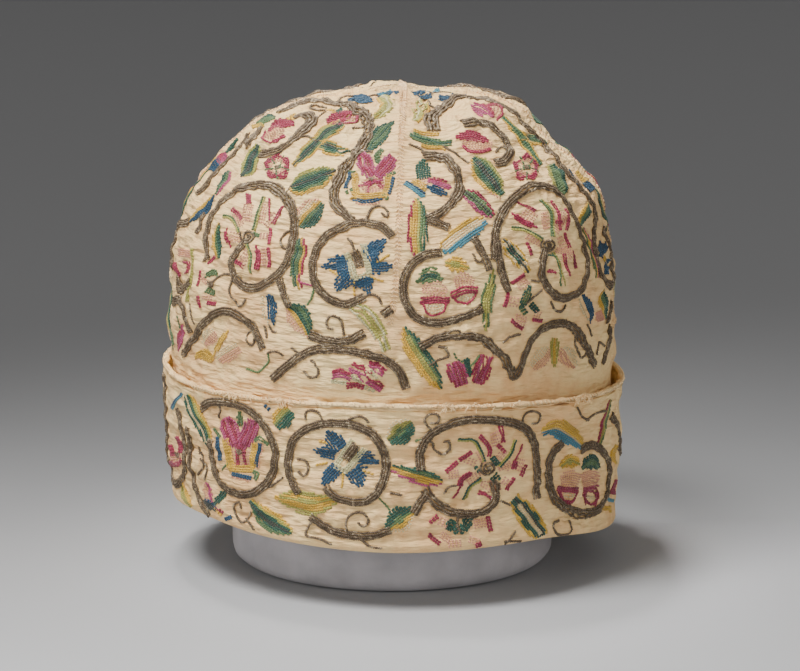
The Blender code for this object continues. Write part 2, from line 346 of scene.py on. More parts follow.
IMAGE_SIZE = (800, 671)
CAMERA_AT = (0.0032, -1.276, 0.348)
CAMERA_DOWN = 11.257
CAMERA_LENS = 138.8
SENSOR = 36.0
PIXELS_PER_LENS = CAMERA_LENS / SENSOR * IMAGE_SIZE[0]
# What lies further back than this is the far side of the cap
NEAR_SIDE = 20.0 * MM

# Stems of plaited metal thread, as points in pixels
CROWN_STEMS = (
    ((281, 115), (300, 104), (320, 100), (338, 99), (352, 103), (364, 112), (368, 124), (363, 138),
     (355, 150), (345, 163), (338, 178), (333, 190), (335, 203), (343, 213), (352, 221)),
    ((355, 251), (358, 259), (360, 267)),
    ((392, 236), (383, 227), (370, 224), (357, 224), (343, 228), (330, 234), (320, 244), (314, 258),
     (314, 277), (321, 291), (334, 301), (349, 304), (364, 297)),
    ((205, 259), (206, 234), (213, 214), (225, 199), (240, 188), (256, 184), (273, 186), (284, 196),
     (292, 209), (294, 226), (291, 250), (286, 265), (273, 278), (258, 287), (246, 287), (236, 280),
     (231, 268), (235, 255), (244, 244)),
    ((260, 153), (276, 150), (294, 140), (308, 126), (312, 118), (304, 115), (296, 118)),
    ((203, 213), (199, 222), (196, 232)),
    ((280, 280), (284, 293), (289, 306)),
    ((186, 354), (193, 340), (200, 328), (213, 315), (225, 311), (240, 316), (253, 328), (263, 348)),
    ((274, 378), (291, 363), (311, 351), (332, 349), (357, 352), (382, 358), (399, 371), (406, 388)),
    ((310, 335), (329, 341), (349, 340), (364, 333)),
    ((189, 221), (180, 226), (174, 238), (172, 252), (174, 266)),
    ((175, 279), (177, 287), (184, 289), (190, 282)),
    ((172, 302), (180, 300), (186, 312), (190, 332)),
    ((249, 136), (243, 146), (232, 158), (220, 171), (208, 184), (199, 193)),
    ((250, 147), (254, 137), (261, 129)),
    ((434, 127), (431, 115), (438, 107), (450, 101), (466, 100), (482, 102), (500, 107), (515, 114),
     (530, 129), (545, 143), (558, 160), (571, 175), (584, 191), (594, 206), (597, 214)),
    ((463, 125), (478, 123), (490, 127), (500, 135), (507, 145), (509, 153), (503, 162), (495, 163)),
    ((425, 155), (436, 152), (447, 158), (455, 170), (460, 187), (452, 203), (440, 213), (428, 219)),
    ((428, 221), (438, 223), (448, 227)),
    ((494, 259), (495, 234), (502, 213), (513, 199), (527, 189), (543, 187), (560, 196), (574, 218),
     (583, 245), (587, 268), (581, 288), (566, 298), (552, 294), (543, 281), (540, 266), (545, 250)),
    ((440, 253), (426, 255), (413, 263), (405, 277), (403, 291), (407, 305), (416, 317), (432, 323),
     (449, 321), (466, 315), (480, 308)),
    ((474, 238), (481, 252), (488, 269)),
    ((496, 242), (500, 265), (507, 291)),
    ((421, 346), (436, 338), (456, 335), (476, 336), (490, 345), (503, 359), (512, 375), (518, 366),
     (524, 352), (534, 336), (549, 326), (565, 324), (578, 331), (588, 348), (595, 365)),
    ((383, 314), (391, 309)),
    ((597, 212), (597, 246), (601, 270), (607, 285), (612, 280), (613, 262), (610, 245), (604, 228)),
    ((610, 303), (610, 312), (607, 321)),
    ((611, 328), (607, 342), (603, 363)),
)
CUFF_STEMS = (
    ((200, 408), (211, 402), (230, 403), (250, 411), (264, 425), (274, 443), (275, 460), (269, 479),
     (257, 491), (241, 495), (225, 488), (215, 474), (211, 456), (210, 440)),
    ((298, 493), (289, 476), (289, 456), (294, 440), (308, 428), (329, 423), (352, 425), (371, 433),
     (382, 448), (386, 466), (380, 488), (366, 501), (349, 501), (334, 496), (327, 487)),
    ((311, 517), (329, 529), (349, 535), (371, 536), (390, 530)),
    ((346, 459), (351, 452), (356, 445)),
    ((421, 469), (420, 455), (428, 438), (445, 426), (465, 420), (489, 420), (513, 423), (528, 431),
     (536, 446), (538, 468), (538, 498)),
    ((426, 491), (438, 505), (456, 513), (476, 514), (491, 507), (498, 494), (495, 483)),
    ((426, 496), (420, 504), (414, 513)),
    ((562, 443), (552, 457), (549, 474), (554, 494), (568, 509), (586, 514), (601, 508), (609, 491),
     (611, 470), (604, 453), (592, 445), (580, 450)),
    ((166, 375), (167, 402), (169, 440), (171, 470), (175, 484), (181, 478), (184, 458), (182, 430),
     (178, 409)),
    ((188, 428), (189, 455), (193, 480), (200, 500), (210, 515)),
    ((612, 416), (617, 424), (619, 440), (620, 460)),
)


def pixel_line(x, y):
    """The direction from the camera through a pixel."""
    down = math.radians(CAMERA_DOWN)
    ahead = np.array([0.0, math.cos(down), -math.sin(down)])
    up = np.array([0.0, math.sin(down), math.cos(down)])
    right = np.array([1.0, 0.0, 0.0])
    across = (x - IMAGE_SIZE[0] / 2.0) / PIXELS_PER_LENS
    rise = (IMAGE_SIZE[1] / 2.0 - y) / PIXELS_PER_LENS
    line = ahead + right * across + up * rise
    return Vector(line / np.linalg.norm(line))


def cast(tree, x, y):
    """Where a pixel falls on the near side of a piece of cloth, or None beside it."""
    hit = tree.ray_cast(Vector(CAMERA_AT), pixel_line(x, y))[0]
    return hit if hit is not None and hit.y < NEAR_SIDE else None


def through(points, step):
    """A smooth curve through points, as rows about a step apart in their first two columns."""
    known = np.array(points, float)
    ends = np.vstack([2.0 * known[0] - known[1], known, 2.0 * known[-1] - known[-2]])
    rows = []
    for i in range(1, len(ends) - 2):
        a, b, c, d = ends[i - 1 : i + 3]
        count = max(1, round(np.linalg.norm((c - b)[:2]) / step))
        t = (np.arange(count) / count)[:, None]
        rows.append(b + 0.5 * t * (c - a + t * (2 * a - 5 * b + 4 * c - d + t * (3 * b - a - 3 * c + d))))
    return np.vstack(rows + [known[-1:]])


def evenly(line, step):
    """A line of points in space, again at an even step."""
    lengths = np.concatenate([[0.0], np.cumsum(np.linalg.norm(np.diff(line, axis=0), axis=1))])
    places = np.linspace(0.0, lengths[-1], max(2, round(lengths[-1] / step) + 1))
    return np.stack([np.interp(places, lengths, line[:, i]) for i in range(3)], axis=1)


def eased(line, times):
    """A line with its small kinks drawn out."""
    for _ in range(times):
        line[1:-1] = line[1:-1] * 0.5 + (line[:-2] + line[2:]) * 0.25
    return line


# The step along a charted line in pixels, and along a line on the cloth
CHART_STEP = 2.0
STEM_STEP = 0.5 * MM


def charted(tree, chart):
    """Lines charted in pixels, laid on the cloth; what falls beside it is left out."""
    lines = []
    for pixels in chart:
        hits = [cast(tree, x, y) for x, y in through(pixels, CHART_STEP)]
        line = np.array([hit for hit in hits if hit is not None])
        if len(line) > 2:
            lines.append(eased(evenly(line, STEM_STEP), times=6))
    return lines


# The crown's face is read along lines from this point
CROWN_CENTRE = (4.4 * MM, 0.0, 90.0 * MM)
CROWN_COLUMNS = 336
CROWN_ROWS = 116
CROWN_FOOT_REACH = 90.9 * MM
TOP_ELEVATION = 88.0
# Corners of the solid round its lower edge
CAD_CROWN_COLUMNS = 48
EDGE_SMOOTHING = 5.0
# The profile that the rows are spaced along
PROFILE_AZIMUTH = 45.0
PROFILE_STEPS = 400
# How thick the linen is
CLOTH = 1.2 * MM
# The cuff hides what is below the first height, and rows are wider apart there. Puckers grow from the first
# height to the second.
HIDDEN_BELOW = 78.0 * MM
SEEN_ABOVE = 88.0 * MM
HIDDEN_WEIGHT = 0.3
CALM_TOP_ROWS = 12.0


def edge_heights(name, columns, azimuths, highest):
    """The height of a node's highest or lowest edge at each azimuth, read from its columns."""
    points = cad_points(name)
    turns = np.degrees(np.arctan2(points[:, 0], -points[:, 1]))
    column = np.round(turns / 360.0 * columns).astype(int) % columns
    pick = np.max if highest else np.min
    heights = [pick(points[column == i, 2]) for i in range(columns)]
    return np.interp(azimuths, np.arange(columns) * 360.0 / columns, heights, period=360.0)


# Rows of the crown, close together where it shows and wider inside the cuff
crown_azimuths = (np.arange(CROWN_COLUMNS) + 0.5) * 360.0 / CROWN_COLUMNS - 180.0
foot = round_line(edge_heights("crown", CAD_CROWN_COLUMNS, crown_azimuths, highest=False), EDGE_SMOOTHING)
turn = np.radians(crown_azimuths)
aside = CROWN_CENTRE[0]
foot_reach = -aside * np.sin(turn) + np.sqrt(CROWN_FOOT_REACH**2 - (aside * np.cos(turn)) ** 2)
foot_elevation = np.degrees(np.arctan2(foot - CROWN_CENTRE[2], foot_reach))
shares = np.linspace(0.0, 1.0, PROFILE_STEPS)
trial = np.array([[foot_elevation.mean()]]) + (TOP_ELEVATION - foot_elevation.mean()) * shares[:, None]
lines, reach = star_grid("crown", CROWN_CENTRE, np.array([PROFILE_AZIMUTH]), trial)
profile = np.array(CROWN_CENTRE) + lines[:, 0] * reach[:, 0, None]
weights = np.where(profile[1:, 2] < HIDDEN_BELOW, HIDDEN_WEIGHT, 1.0)
paced = np.concatenate([[0.0], np.cumsum(np.linalg.norm(np.diff(profile, axis=0), axis=1) * weights)])
row_shares = np.interp(np.linspace(0.0, paced[-1], CROWN_ROWS), paced, shares)
elevations = foot_elevation[None, :] + (TOP_ELEVATION - foot_elevation[None, :]) * row_shares[:, None]
lines, reach = star_grid("crown", CROWN_CENTRE, crown_azimuths, elevations)
reach = blurred(reach, rows=2.2, columns=4.0)
crown_grid = np.array(CROWN_CENTRE) + lines * reach[..., None]
last = (CROWN_ROWS - 1) * CROWN_COLUMNS
count = CROWN_ROWS * CROWN_COLUMNS
crown_face = band_faces(CROWN_ROWS, CROWN_COLUMNS) + fan_faces(last, CROWN_COLUMNS, count)
crown_tree = tree_over(list(crown_grid.reshape(-1, 3)) + [crown_grid[-1].mean(axis=0)], crown_face)


def turned_crown(line, quarters=2):
    """A line on the crown, carried round it by that many quarter turns: two take it to the back."""
    moved = []
    for point in line:
        away = Vector(point) - Vector(CROWN_CENTRE)
        for _ in range(quarters):
            away = Vector((-away.y, away.x, away.z)).normalized()
        moved.append(crown_tree.ray_cast(Vector(CROWN_CENTRE) + away * FAR, -away)[0])
    return np.array(moved)


crown_stems = charted(crown_tree, CROWN_STEMS)
crown_stems += [turned_crown(line) for line in crown_stems]

# Puckers: beside a stem, over its length, and the broad and fine waves of the cloth
STEM_SINK = 0.3 * MM
STEM_SINK_OVER = 2.6 * MM
PUCKER = 0.42 * MM
PUCKER_LENGTH = 5.6 * MM
PUCKER_OVER = 3.6 * MM
PUCKER_SWAY = 1.6
FINE_WAVE = 0.42 * MM
BROAD_WAVE = 0.7 * MM


def puckers(grid, lines):
    """How far the cloth is drawn in or stands out at each place of a grid, beside lines of stitching."""
    known = [(point, i * STEM_STEP) for line in lines for i, point in enumerate(line)]
    near = KDTree(len(known))
    for i, (point, _) in enumerate(known):
        near.insert(Vector(point), i)
    near.balance()
    sway = PUCKER_SWAY * waves(grid.shape[:2], rows=4.0, columns=6.0)
    raised = np.zeros(grid.shape[:2])
    for place in np.ndindex(raised.shape):
        _, index, gap = near.find(Vector(grid[place]))
        along = known[index][1]
        beside = gap / PUCKER_OVER
        raised[place] = -STEM_SINK * math.exp(-((gap / STEM_SINK_OVER) ** 2))
        wave = math.sin(2.0 * math.pi * along / PUCKER_LENGTH + sway[place])
        raised[place] += PUCKER * wave * beside * math.exp(1.0 - beside)
    return raised


seen = ramp(crown_grid[..., 2], HIDDEN_BELOW, SEEN_ABOVE)
calm_top = ramp(CROWN_ROWS - 1.0 - np.arange(CROWN_ROWS), 0.0, CALM_TOP_ROWS)[:, None]
raised = puckers(crown_grid, crown_stems)
raised += FINE_WAVE * waves(reach.shape, rows=1.0, columns=1.7)
raised += BROAD_WAVE * waves(reach.shape, rows=6.0, columns=7.0)
raised = raised * seen * calm_top - top_sag(crown_grid)
outer = crown_grid + normals_of(crown_grid) * raised[..., None]
INNER_ROWS = 30
inner_rows = np.linspace(0, CROWN_ROWS - 1, INNER_ROWS).round().astype(int)
inner_raised = blurred(raised, rows=2.0, columns=2.0)[..., None] - CLOTH
inner = (crown_grid + normals_of(crown_grid) * inner_raised)[inner_rows]
inner[0] = outer[0] - normals_of(crown_grid)[0] * CLOTH

LINEN_THREAD = 0.55 * MM
RUMPLE = 12.0


def linen_surface(name, pale, deep, creases):
    """Cream plain-weave linen: two threads that cross, slubs, small creases and old stains."""
    cloth = Surface(name, Roughness=0.88, Sheen_Weight=0.04, Specular_IOR_Level=0.2)
    place = cloth.place()
    across, along = cloth.weave()
    threads = (across * (2.0 * math.pi / LINEN_THREAD)).maths("SINE")
    threads = threads + (along * (2.0 * math.pi / LINEN_THREAD)).maths("SINE")
    slubs = cloth.noise(cloth.stretched(across * 0.2, along), scale=1400.0)
    small = cloth.noise(cloth.stretched(across * 90.0, along * 380.0), scale=1.0, detail=3.0)
    rumple = cloth.noise(cloth.stretched(across * 80.0, along * 170.0), scale=1.0, detail=2.0)
    stain = cloth.noise(place, scale=26.0, detail=4.0)
    mottle = cloth.noise(place, scale=190.0, detail=3.0)
    tone = (stain * 0.6 + mottle * 0.4).clipped(0.4, 0.62)
    return cloth.finish(
        Base_Color=cloth.mixed(pale, deep, tone),
        height=threads * 0.08 + slubs * 0.4 + small * creases + rumple * RUMPLE,
        distance=0.3 * MM,
    )


linen = linen_surface("linen", eye(255, 222, 160), eye(240, 194, 136), creases=10.0)


def cloth_flat(rows, columns, around, heights):
    """Each vertex's place on the flat cloth, for a grid: round it, and up it."""
    across = np.arange(columns) / columns * around
    return np.stack(np.broadcast_arrays(across[None, :], heights[:, None]), axis=-1).reshape(-1, 2)


CROWN_AROUND = 2.0 * math.pi * 92.0 * MM
TIP_RISE = 0.2 * MM
steps = np.linalg.norm(np.diff(crown_grid, axis=0), axis=2).mean(axis=1)
crown_up = np.concatenate([[0.0], np.cumsum(steps)])
flat = cloth_flat(CROWN_ROWS, CROWN_COLUMNS, CROWN_AROUND, crown_up)
tips = [outer[-1].mean(axis=0) + np.array([0.0, 0.0, TIP_RISE])]
tips.append(tips[0] - np.array([0.0, 0.0, CLOTH]))
points = list(outer.reshape(-1, 3)) + list(inner.reshape(-1, 3)) + tips
tip = len(points) - 2
faces = band_faces(CROWN_ROWS, CROWN_COLUMNS) + band_faces(INNER_ROWS, CROWN_COLUMNS, count)
faces += fan_faces(last, CROWN_COLUMNS, tip) + fan_faces(tip - CROWN_COLUMNS, CROWN_COLUMNS, tip + 1)
faces += [
    (i, (i + 1) % CROWN_COLUMNS, count + (i + 1) % CROWN_COLUMNS, count + i) for i in range(CROWN_COLUMNS)
]
flat_tip = [[0.0, crown_up[-1]]]
flat_inner = cloth_flat(INNER_ROWS, CROWN_COLUMNS, CROWN_AROUND, crown_up[inner_rows])
flat = np.vstack([flat, flat_inner, flat_tip, flat_tip])
crown = shown("crown_linen", points, faces, linen, flat, CROWN_AROUND)
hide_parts("crown")
crown_cloth = tree_over(list(outer.reshape(-1, 3)) + tips[:1], crown_face)

# The cuff
# The same linen, folded outwards and up, and embroidered on its face. It hangs from a short inner leg under
# the crown's lower edge, and its face stands a little clear of the crown.

CUFF_COLUMNS = 432
CUFF_FACE_ROWS = 52
CUFF_BACK_ROWS = 10
CAD_CUFF_COLUMNS = 56
# The fold: how high its bend begins, and how far in and how near its underside the stitches may follow it
FOLD_RISE = 3.2 * MM
FOLD_STEPS = 9
FOLD_TUCK = 0.7 * MM
FOLD_LIFT = 1.0 * MM
LEG_OUTER = 91.0 * MM
CUFF_REACH = 96.0 * MM
CUFF_AROUND = 2.0 * math.pi * CUFF_REACH
CUFF_BROAD_WAVE = 0.8 * BROAD_WAVE
CALM_EDGE_ROWS = 4.0
# The face is read below the rounded top of the solid
READ_BELOW_TOP = 0.6 * MM

cuff_azimuths = (np.arange(CUFF_COLUMNS) + 0.5) * 360.0 / CUFF_COLUMNS - 180.0
cuff_fold = round_line(edge_heights("cuff", CAD_CUFF_COLUMNS, cuff_azimuths, highest=False), EDGE_SMOOTHING)
cuff_top = round_line(edge_heights("cuff", CAD_CUFF_COLUMNS, cuff_azimuths, highest=True), EDGE_SMOOTHING)
cuff_bend = cuff_fold + FOLD_RISE
cuff_shares = np.linspace(0.0, 1.0, CUFF_FACE_ROWS)
heights = cuff_bend[None, :] + (cuff_top - cuff_bend)[None, :] * cuff_shares[:, None]
flat_lines = directions(cuff_azimuths, 0.0 * cuff_azimuths)
tree = cad_tree("cuff")
reach = np.zeros(heights.shape)
for row, column in np.ndindex(reach.shape):
    line = Vector(flat_lines[column])
    height = min(heights[row, column], cuff_top[column] - READ_BELOW_TOP)
    hit = tree.ray_cast(line * FAR + Vector((0.0, 0.0, height)), -line, FAR)[0]
    reach[row, column] = math.hypot(hit.x, hit.y) if hit is not None else np.nan
reach = blurred(np.where(np.isnan(reach), typical(reach), reach), rows=2.0, columns=EDGE_SMOOTHING)


def ringed(reach, heights):
    return flat_lines[None, :, :] * reach[..., None] + heights[..., None] * np.array([0.0, 0.0, 1.0])


cuff_grid = ringed(reach, heights)


def face_tree(grid):
    """The cuff's face as the stitches find it, down to the underside of the fold."""
    low = ringed(reach[:1] - FOLD_TUCK, (cuff_fold + FOLD_LIFT)[None, :])
    return tree_over(np.concatenate([low, grid]).reshape(-1, 3), band_faces(CUFF_FACE_ROWS + 1, CUFF_COLUMNS))


cuff_tree = face_tree(cuff_grid)


def cuff_edges(azimuth):
    """The heights of the cuff's fold and top at an azimuth."""
    return [np.interp(azimuth, cuff_azimuths, edge, period=360.0) for edge in (cuff_fold, cuff_top)]


def turned_cuff(line):
    """A line on the cuff's face, carried half round to the back, as high between fold and hem as before."""
    moved = []
    for point in line:
        azimuth = math.degrees(math.atan2(point[0], -point[1]))
        low, top = cuff_edges(azimuth)
        share = (point[2] - low) / (top - low)
        low, top = cuff_edges(azimuth + 180.0)
        level = Vector((0.0, 0.0, low + (top - low) * share))
        away = Vector((-point[0], -point[1], 0.0)).normalized()
        moved.append(cuff_tree.find_nearest(away * CUFF_REACH + level)[0])
    return np.array(moved)


cuff_stems = charted(cuff_tree, CUFF_STEMS)
cuff_stems += [turned_cuff(line) for line in cuff_stems]
raised = puckers(cuff_grid, cuff_stems)
raised += FINE_WAVE * waves(reach.shape, rows=1.6, columns=3.6)
raised += CUFF_BROAD_WAVE * waves(reach.shape, rows=9.0, columns=12.0)
from_edge = np.minimum(np.arange(CUFF_FACE_ROWS), np.arange(CUFF_FACE_ROWS)[::-1])[:, None]
raised *= ramp(from_edge, 0.0, CALM_EDGE_ROWS)
face = cuff_grid + normals_of(cuff_grid) * raised[..., None]
back_rows = np.linspace(CUFF_FACE_ROWS - 1, 0, CUFF_BACK_ROWS).round().astype(int)
smooth_raised = blurred(raised, rows=2.0, columns=3.0)
back = ringed(reach + smooth_raised - CLOTH, heights)[back_rows]
arc = math.pi * (np.arange(FOLD_STEPS) + 1.0) / (FOLD_STEPS + 1.0)


def bottom(inner_reach, outer_reach, low):
    """The rounded bottom of the fold, from the inner leg out to the face."""
    middle, half = (inner_reach + outer_reach) / 2.0, (outer_reach - inner_reach) / 2.0
    reaches = middle[None, :] - half[None, :] * np.cos(arc)[:, None]
    levels = cuff_bend[None, :] - (cuff_bend - low)[None, :] * np.sin(arc)[:, None]
    return ringed(reaches, levels)


inner_leg = np.full(CUFF_COLUMNS, LEG_OUTER - CLOTH)
outer_leg = np.full(CUFF_COLUMNS, LEG_OUTER)
leg_top = cuff_bend[None, :]
section = [
    ringed(inner_leg[None, :], leg_top),
    bottom(inner_leg, reach[0], cuff_fold),
    face,
    back,
    bottom(outer_leg, reach[0] - CLOTH, cuff_fold + CLOTH)[::-1],
    ringed(outer_leg[None, :], leg_top),
]
section = np.concatenate(section)
cuff_rows = len(section)
faces = band_faces(cuff_rows, CUFF_COLUMNS) + closing_faces(cuff_rows, CUFF_COLUMNS)
steps = np.linalg.norm(np.diff(section, axis=0), axis=2).mean(axis=1)
flat = cloth_flat(cuff_rows, CUFF_COLUMNS, CUFF_AROUND, np.concatenate([[0.0], np.cumsum(steps)]))
cuff = shown("cuff_linen", section.reshape(-1, 3), faces, linen, flat, CUFF_AROUND)
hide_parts("cuff")
cuff_cloth = face_tree(face)

# The rolled hem
# The cuff's edge, rolled narrow and whipped down with linen thread. Ends of worn stitching stand up from it.

HEM_RADIUS = 1.15 * MM
HEM_SIDES = 12
HEM_STEP = 0.6 * MM
HEM_LUMPS = 0.26
HEM_SET_IN = 0.6 * MM
hem_height = edge_heights("rolled_hem", CAD_CUFF_COLUMNS, cuff_azimuths, highest=True)
hem_middle = round_line(hem_height, EDGE_SMOOTHING) - HEM_RADIUS
lumps = waves((HEM_SIDES, CUFF_COLUMNS), rows=1.5, columns=1.3) * HEM_LUMPS
hem_reach = reach[-1] - HEM_SET_IN
turns = 2.0 * math.pi * np.arange(HEM_SIDES) / HEM_SIDES
sizes = HEM_RADIUS * (1.0 + lumps)
hem = ringed(
    hem_reach[None, :] + sizes * np.cos(turns)[:, None], hem_middle[None, :] + sizes * np.sin(turns)[:, None]
)
faces = band_faces(HEM_SIDES, CUFF_COLUMNS) + closing_faces(HEM_SIDES, CUFF_COLUMNS)
flat = cloth_flat(HEM_SIDES, CUFF_COLUMNS, CUFF_AROUND, np.arange(HEM_SIDES) * HEM_STEP)
hem_linen = linen_surface("hem_linen", eye(255, 222, 164), eye(240, 196, 138), creases=8.0)
rolled_hem = shown("hem_roll", hem.reshape(-1, 3), faces, hem_linen, flat, CUFF_AROUND)
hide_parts("rolled_hem")

# Metal thread
# Stems are plaited on the cloth in tarnished silver-gilt thread: four rows of slanted stitches, of which the
# two in the middle ride higher. They are broader where they pass over the top.

Row = collections.namedtuple("Row", "line up tint lean size")


def laid(tree, points, lift):
    """Points moved on to the cloth and lifted off it, with the cloth's outward direction at each."""
    found = [tree.find_nearest(Vector(point))[:2] for point in points]
    ups = np.array([normal for _, normal in found])
    ups = eased(ups, times=2) if len(ups) > 4 else ups
    ups = ups / np.linalg.norm(ups, axis=1, keepdims=True)
    return np.array([place for place, _ in found]) + ups * lift, ups


def beside(line, ups, offset):
    """A line moved sideways over the cloth."""
    ahead = np.gradient(line, axis=0)
    side = np.cross(ups, ahead)
    return line + side / np.linalg.norm(side, axis=1, keepdims=True) * offset


BEAD_SIDES = 4
BEAD_RINGS = 3
# The random picks for the metal thread's painted highlights draw from a seed that is this much higher
PAINTED_HIGHLIGHT_SEED = 7.0


def stitch_tree():
    """Stitches along lines: a bead on every pitch, turned along the line and off the cloth."""
    tree = bpy.data.node_groups.new("stitches", "GeometryNodeTree")
    face = tree.interface
    face.new_socket("Geometry", in_out="INPUT", socket_type="NodeSocketGeometry")
    face.new_socket("Geometry", in_out="OUTPUT", socket_type="NodeSocketGeometry")
    for label in ("Pitch", "Length", "Width", "Height", "Unevenness"):
        face.new_socket(label, in_out="INPUT", socket_type="NodeSocketFloat")
    face.new_socket("Seed", in_out="INPUT", socket_type="NodeSocketInt")
    face.new_socket("Thread", in_out="INPUT", socket_type="NodeSocketMaterial")
    given = tree.nodes.new("NodeGroupInput")
    fields = {socket.name: Field(tree, socket) for socket in given.outputs if socket.name}

    def node(kind, settings=None, inputs=None, out=0):
        return add_node(tree, kind, settings, inputs, out)

    def stored(name, kind):
        return node("GeometryNodeInputNamedAttribute", {"data_type": kind}, {"Name": name})

    lines = node("GeometryNodeMeshToCurve", inputs={0: fields["Geometry"]})
    spots = node(
        "GeometryNodeResampleCurve", {"mode": "LENGTH"}, {"Curve": lines, "Length": fields["Pitch"]}
    )
    ball = node(
        "GeometryNodeMeshUVSphere", inputs={"Segments": BEAD_SIDES, "Rings": BEAD_RINGS, "Radius": 0.5}
    )
    ball = node("GeometryNodeTransform", inputs={"Geometry": ball, "Rotation": (0.0, math.pi / 2.0, 0.0)})
    size = node(
        "ShaderNodeCombineXYZ", inputs={0: fields["Length"], 1: fields["Width"], 2: fields["Height"]}
    )
    ball = node("GeometryNodeTransform", inputs={"Geometry": ball, "Scale": size})
    ball = node("GeometryNodeSetShadeSmooth", inputs={0: ball})
    along = node("GeometryNodeInputTangent")
    facing = node("FunctionNodeAlignRotationToVector", {"axis": "X"}, {"Vector": along})
    facing = node(
        "FunctionNodeAlignRotationToVector",
        {"axis": "Z", "pivot_axis": "X"},
        {"Rotation": facing, "Vector": stored("up", "FLOAT_VECTOR")},
    )
    jitter = node("FunctionNodeRandomValue", {"data_type": "FLOAT"}, out=1)
    for key, value in (("Min", -1.0), ("Max", 1.0)):
        socket = [s for s in jitter.socket.node.inputs if s.name == key and s.type == "VALUE"][0]
        socket.default_value = value
    tree.links.new(fields["Seed"].socket, jitter.socket.node.inputs["Seed"])
    swing = stored("lean", "FLOAT") + jitter * fields["Unevenness"]
    turn = node("ShaderNodeCombineXYZ", inputs={2: swing})
    turn = node("FunctionNodeEulerToRotation", inputs={0: turn})
    facing = node(
        "FunctionNodeRotateRotation", {"rotation_space": "LOCAL"}, {"Rotation": facing, "Rotate By": turn}
    )
    grown = stored("size", "FLOAT") * (1.0 + jitter * fields["Unevenness"] * 0.5)
    beads = node(
        "GeometryNodeInstanceOnPoints",
        inputs={"Points": spots, "Instance": ball, "Rotation": facing, "Scale": grown},
    )
    # A random pick for each stitch, which the metal thread uses to place its painted highlights
    painted_highlight_pick = node("FunctionNodeRandomValue", {"data_type": "FLOAT"}, out=1)
    tree.links.new((fields["Seed"] + PAINTED_HIGHLIGHT_SEED).socket, painted_highlight_pick.socket.node.inputs["Seed"])
    beads = node(
        "GeometryNodeStoreNamedAttribute",
        {"data_type": "FLOAT", "domain": "INSTANCE"},
        {"Geometry": beads, "Name": "painted_highlight_pick", "Value": painted_highlight_pick},
    )
    solid = node("GeometryNodeRealizeInstances", inputs={0: beads})
    solid = node("GeometryNodeSetMaterial", inputs={"Geometry": solid, "Material": fields["Thread"]})
    ending = tree.nodes.new("NodeGroupOutput")
    tree.links.new(solid.socket, ending.inputs[0])
    return tree


stitches = stitch_tree()


def stitched(name, rows, thread, slot, pitch, length, width, height, unevenness=0.15, seed=1):
    """A piece made of rows of stitches."""
    rows = [row for row in rows if len(row.line) > 1]
    points = np.vstack([row.line for row in rows])
    starts = np.cumsum([0] + [len(row.line) for row in rows])
    edges = [(start + i, start + i + 1) for start, row in zip(starts, rows) for i in range(len(row.line) - 1)]
    mesh = bpy.data.meshes.new(name)
    mesh.from_pydata(points.tolist(), edges, [])
    tints = np.vstack([np.broadcast_to(row.tint, (len(row.line), 4)) for row in rows])
    leans = np.concatenate([np.full(len(row.line), row.lean) for row in rows])
    row_sizes = np.concatenate([np.broadcast_to(row.size, len(row.line)) for row in rows])
    for label, kind, field, values in (
        ("up", "FLOAT_VECTOR", "vector", np.vstack([row.up for row in rows])),
        ("tint", "FLOAT_COLOR", "color", tints),
        ("lean", "FLOAT", "value", leans),
        ("size", "FLOAT", "value", row_sizes),
    ):
        made = mesh.attributes.new(label, kind, "POINT")
        made.data.foreach_set(field, np.asarray(values, np.float32).ravel())
    piece = bpy.data.objects.new(name, mesh)
    bpy.context.scene.collection.objects.link(piece)
    modifier = piece.modifiers.new("stitches", "NODES")
    modifier.node_group = stitches
    given = {
        "Pitch": pitch,
        "Length": length,
        "Width": width,
        "Height": height,
        "Unevenness": unevenness,
        "Seed": seed,
        "Thread": thread,
    }
    for item in stitches.interface.items_tree:
        if item.in_out == "INPUT" and item.name in given:
            modifier[item.identifier] = given[item.name]
    graph = bpy.context.evaluated_depsgraph_get()
    solid = bpy.data.meshes.new_from_object(
        piece.evaluated_get(graph), preserve_all_data_layers=True, depsgraph=graph
    )
    piece.modifiers.clear()
    piece.data = solid
    solid.name = name
    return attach(piece, "root")


# Dull grey brown, with painted highlights: a few stitches and turns of the winding are painted pale, standing
# in for glints of light
metal = Surface("metal_thread", Metallic=0.35)
painted_highlight_pick = metal.attribute("painted_highlight_pick", "Fac")
wound = metal.noise(metal.place(), scale=2600.0)
# Painted highlight: the base colour turns pale where the stitch's pick and the winding noise run high
painted_glint = ((painted_highlight_pick + wound * 0.5 - 0.36).maths("MAXIMUM", 0.0) ** 4.0).clipped(0.0, 1.0)
dull = metal.mixed(eye(74, 62, 50), eye(130, 112, 90), wound.clipped(0.35, 0.65))
metal_thread = metal.finish(
    Base_Color=metal.mixed(dull, eye(200, 184, 154), painted_glint),
    Roughness=0.55 - painted_glint * 0.15,
    height=wound,
    distance=0.12 * MM,
)

# The plait's rows: how far each lies to one side in mm, how it leans, and how many mm it rides off the cloth
BraidRow = collections.namedtuple("BraidRow", "offset lean lift")
BRAID = (
    BraidRow(-1.42, 0.55, 0.45),
    BraidRow(-0.5, -0.55, 0.85),
    BraidRow(0.5, 0.55, 0.85),
    BraidRow(1.42, -0.55, 0.45),
)
BRAID_COLOUR = (0.1, 0.08, 0.06, 1.0)
# Stems broaden by this share as the cloth turns from side to top, between these two slopes
TOP_BROADER = 0.45
TOP_SLOPES = (0.65, 0.9)


def braid_rows(tree, lines):
    rows = []
    for line in lines:
        _, ups = laid(tree, line, 0.0)
        broad = 1.0 + TOP_BROADER * ramp(ups[:, 2], *TOP_SLOPES)
        for row in BRAID:
            points, row_ups = laid(tree, beside(line, ups, row.offset * MM * broad[:, None]), row.lift * MM)
            rows.append(Row(points, row_ups, BRAID_COLOUR, row.lean, broad))
    return rows


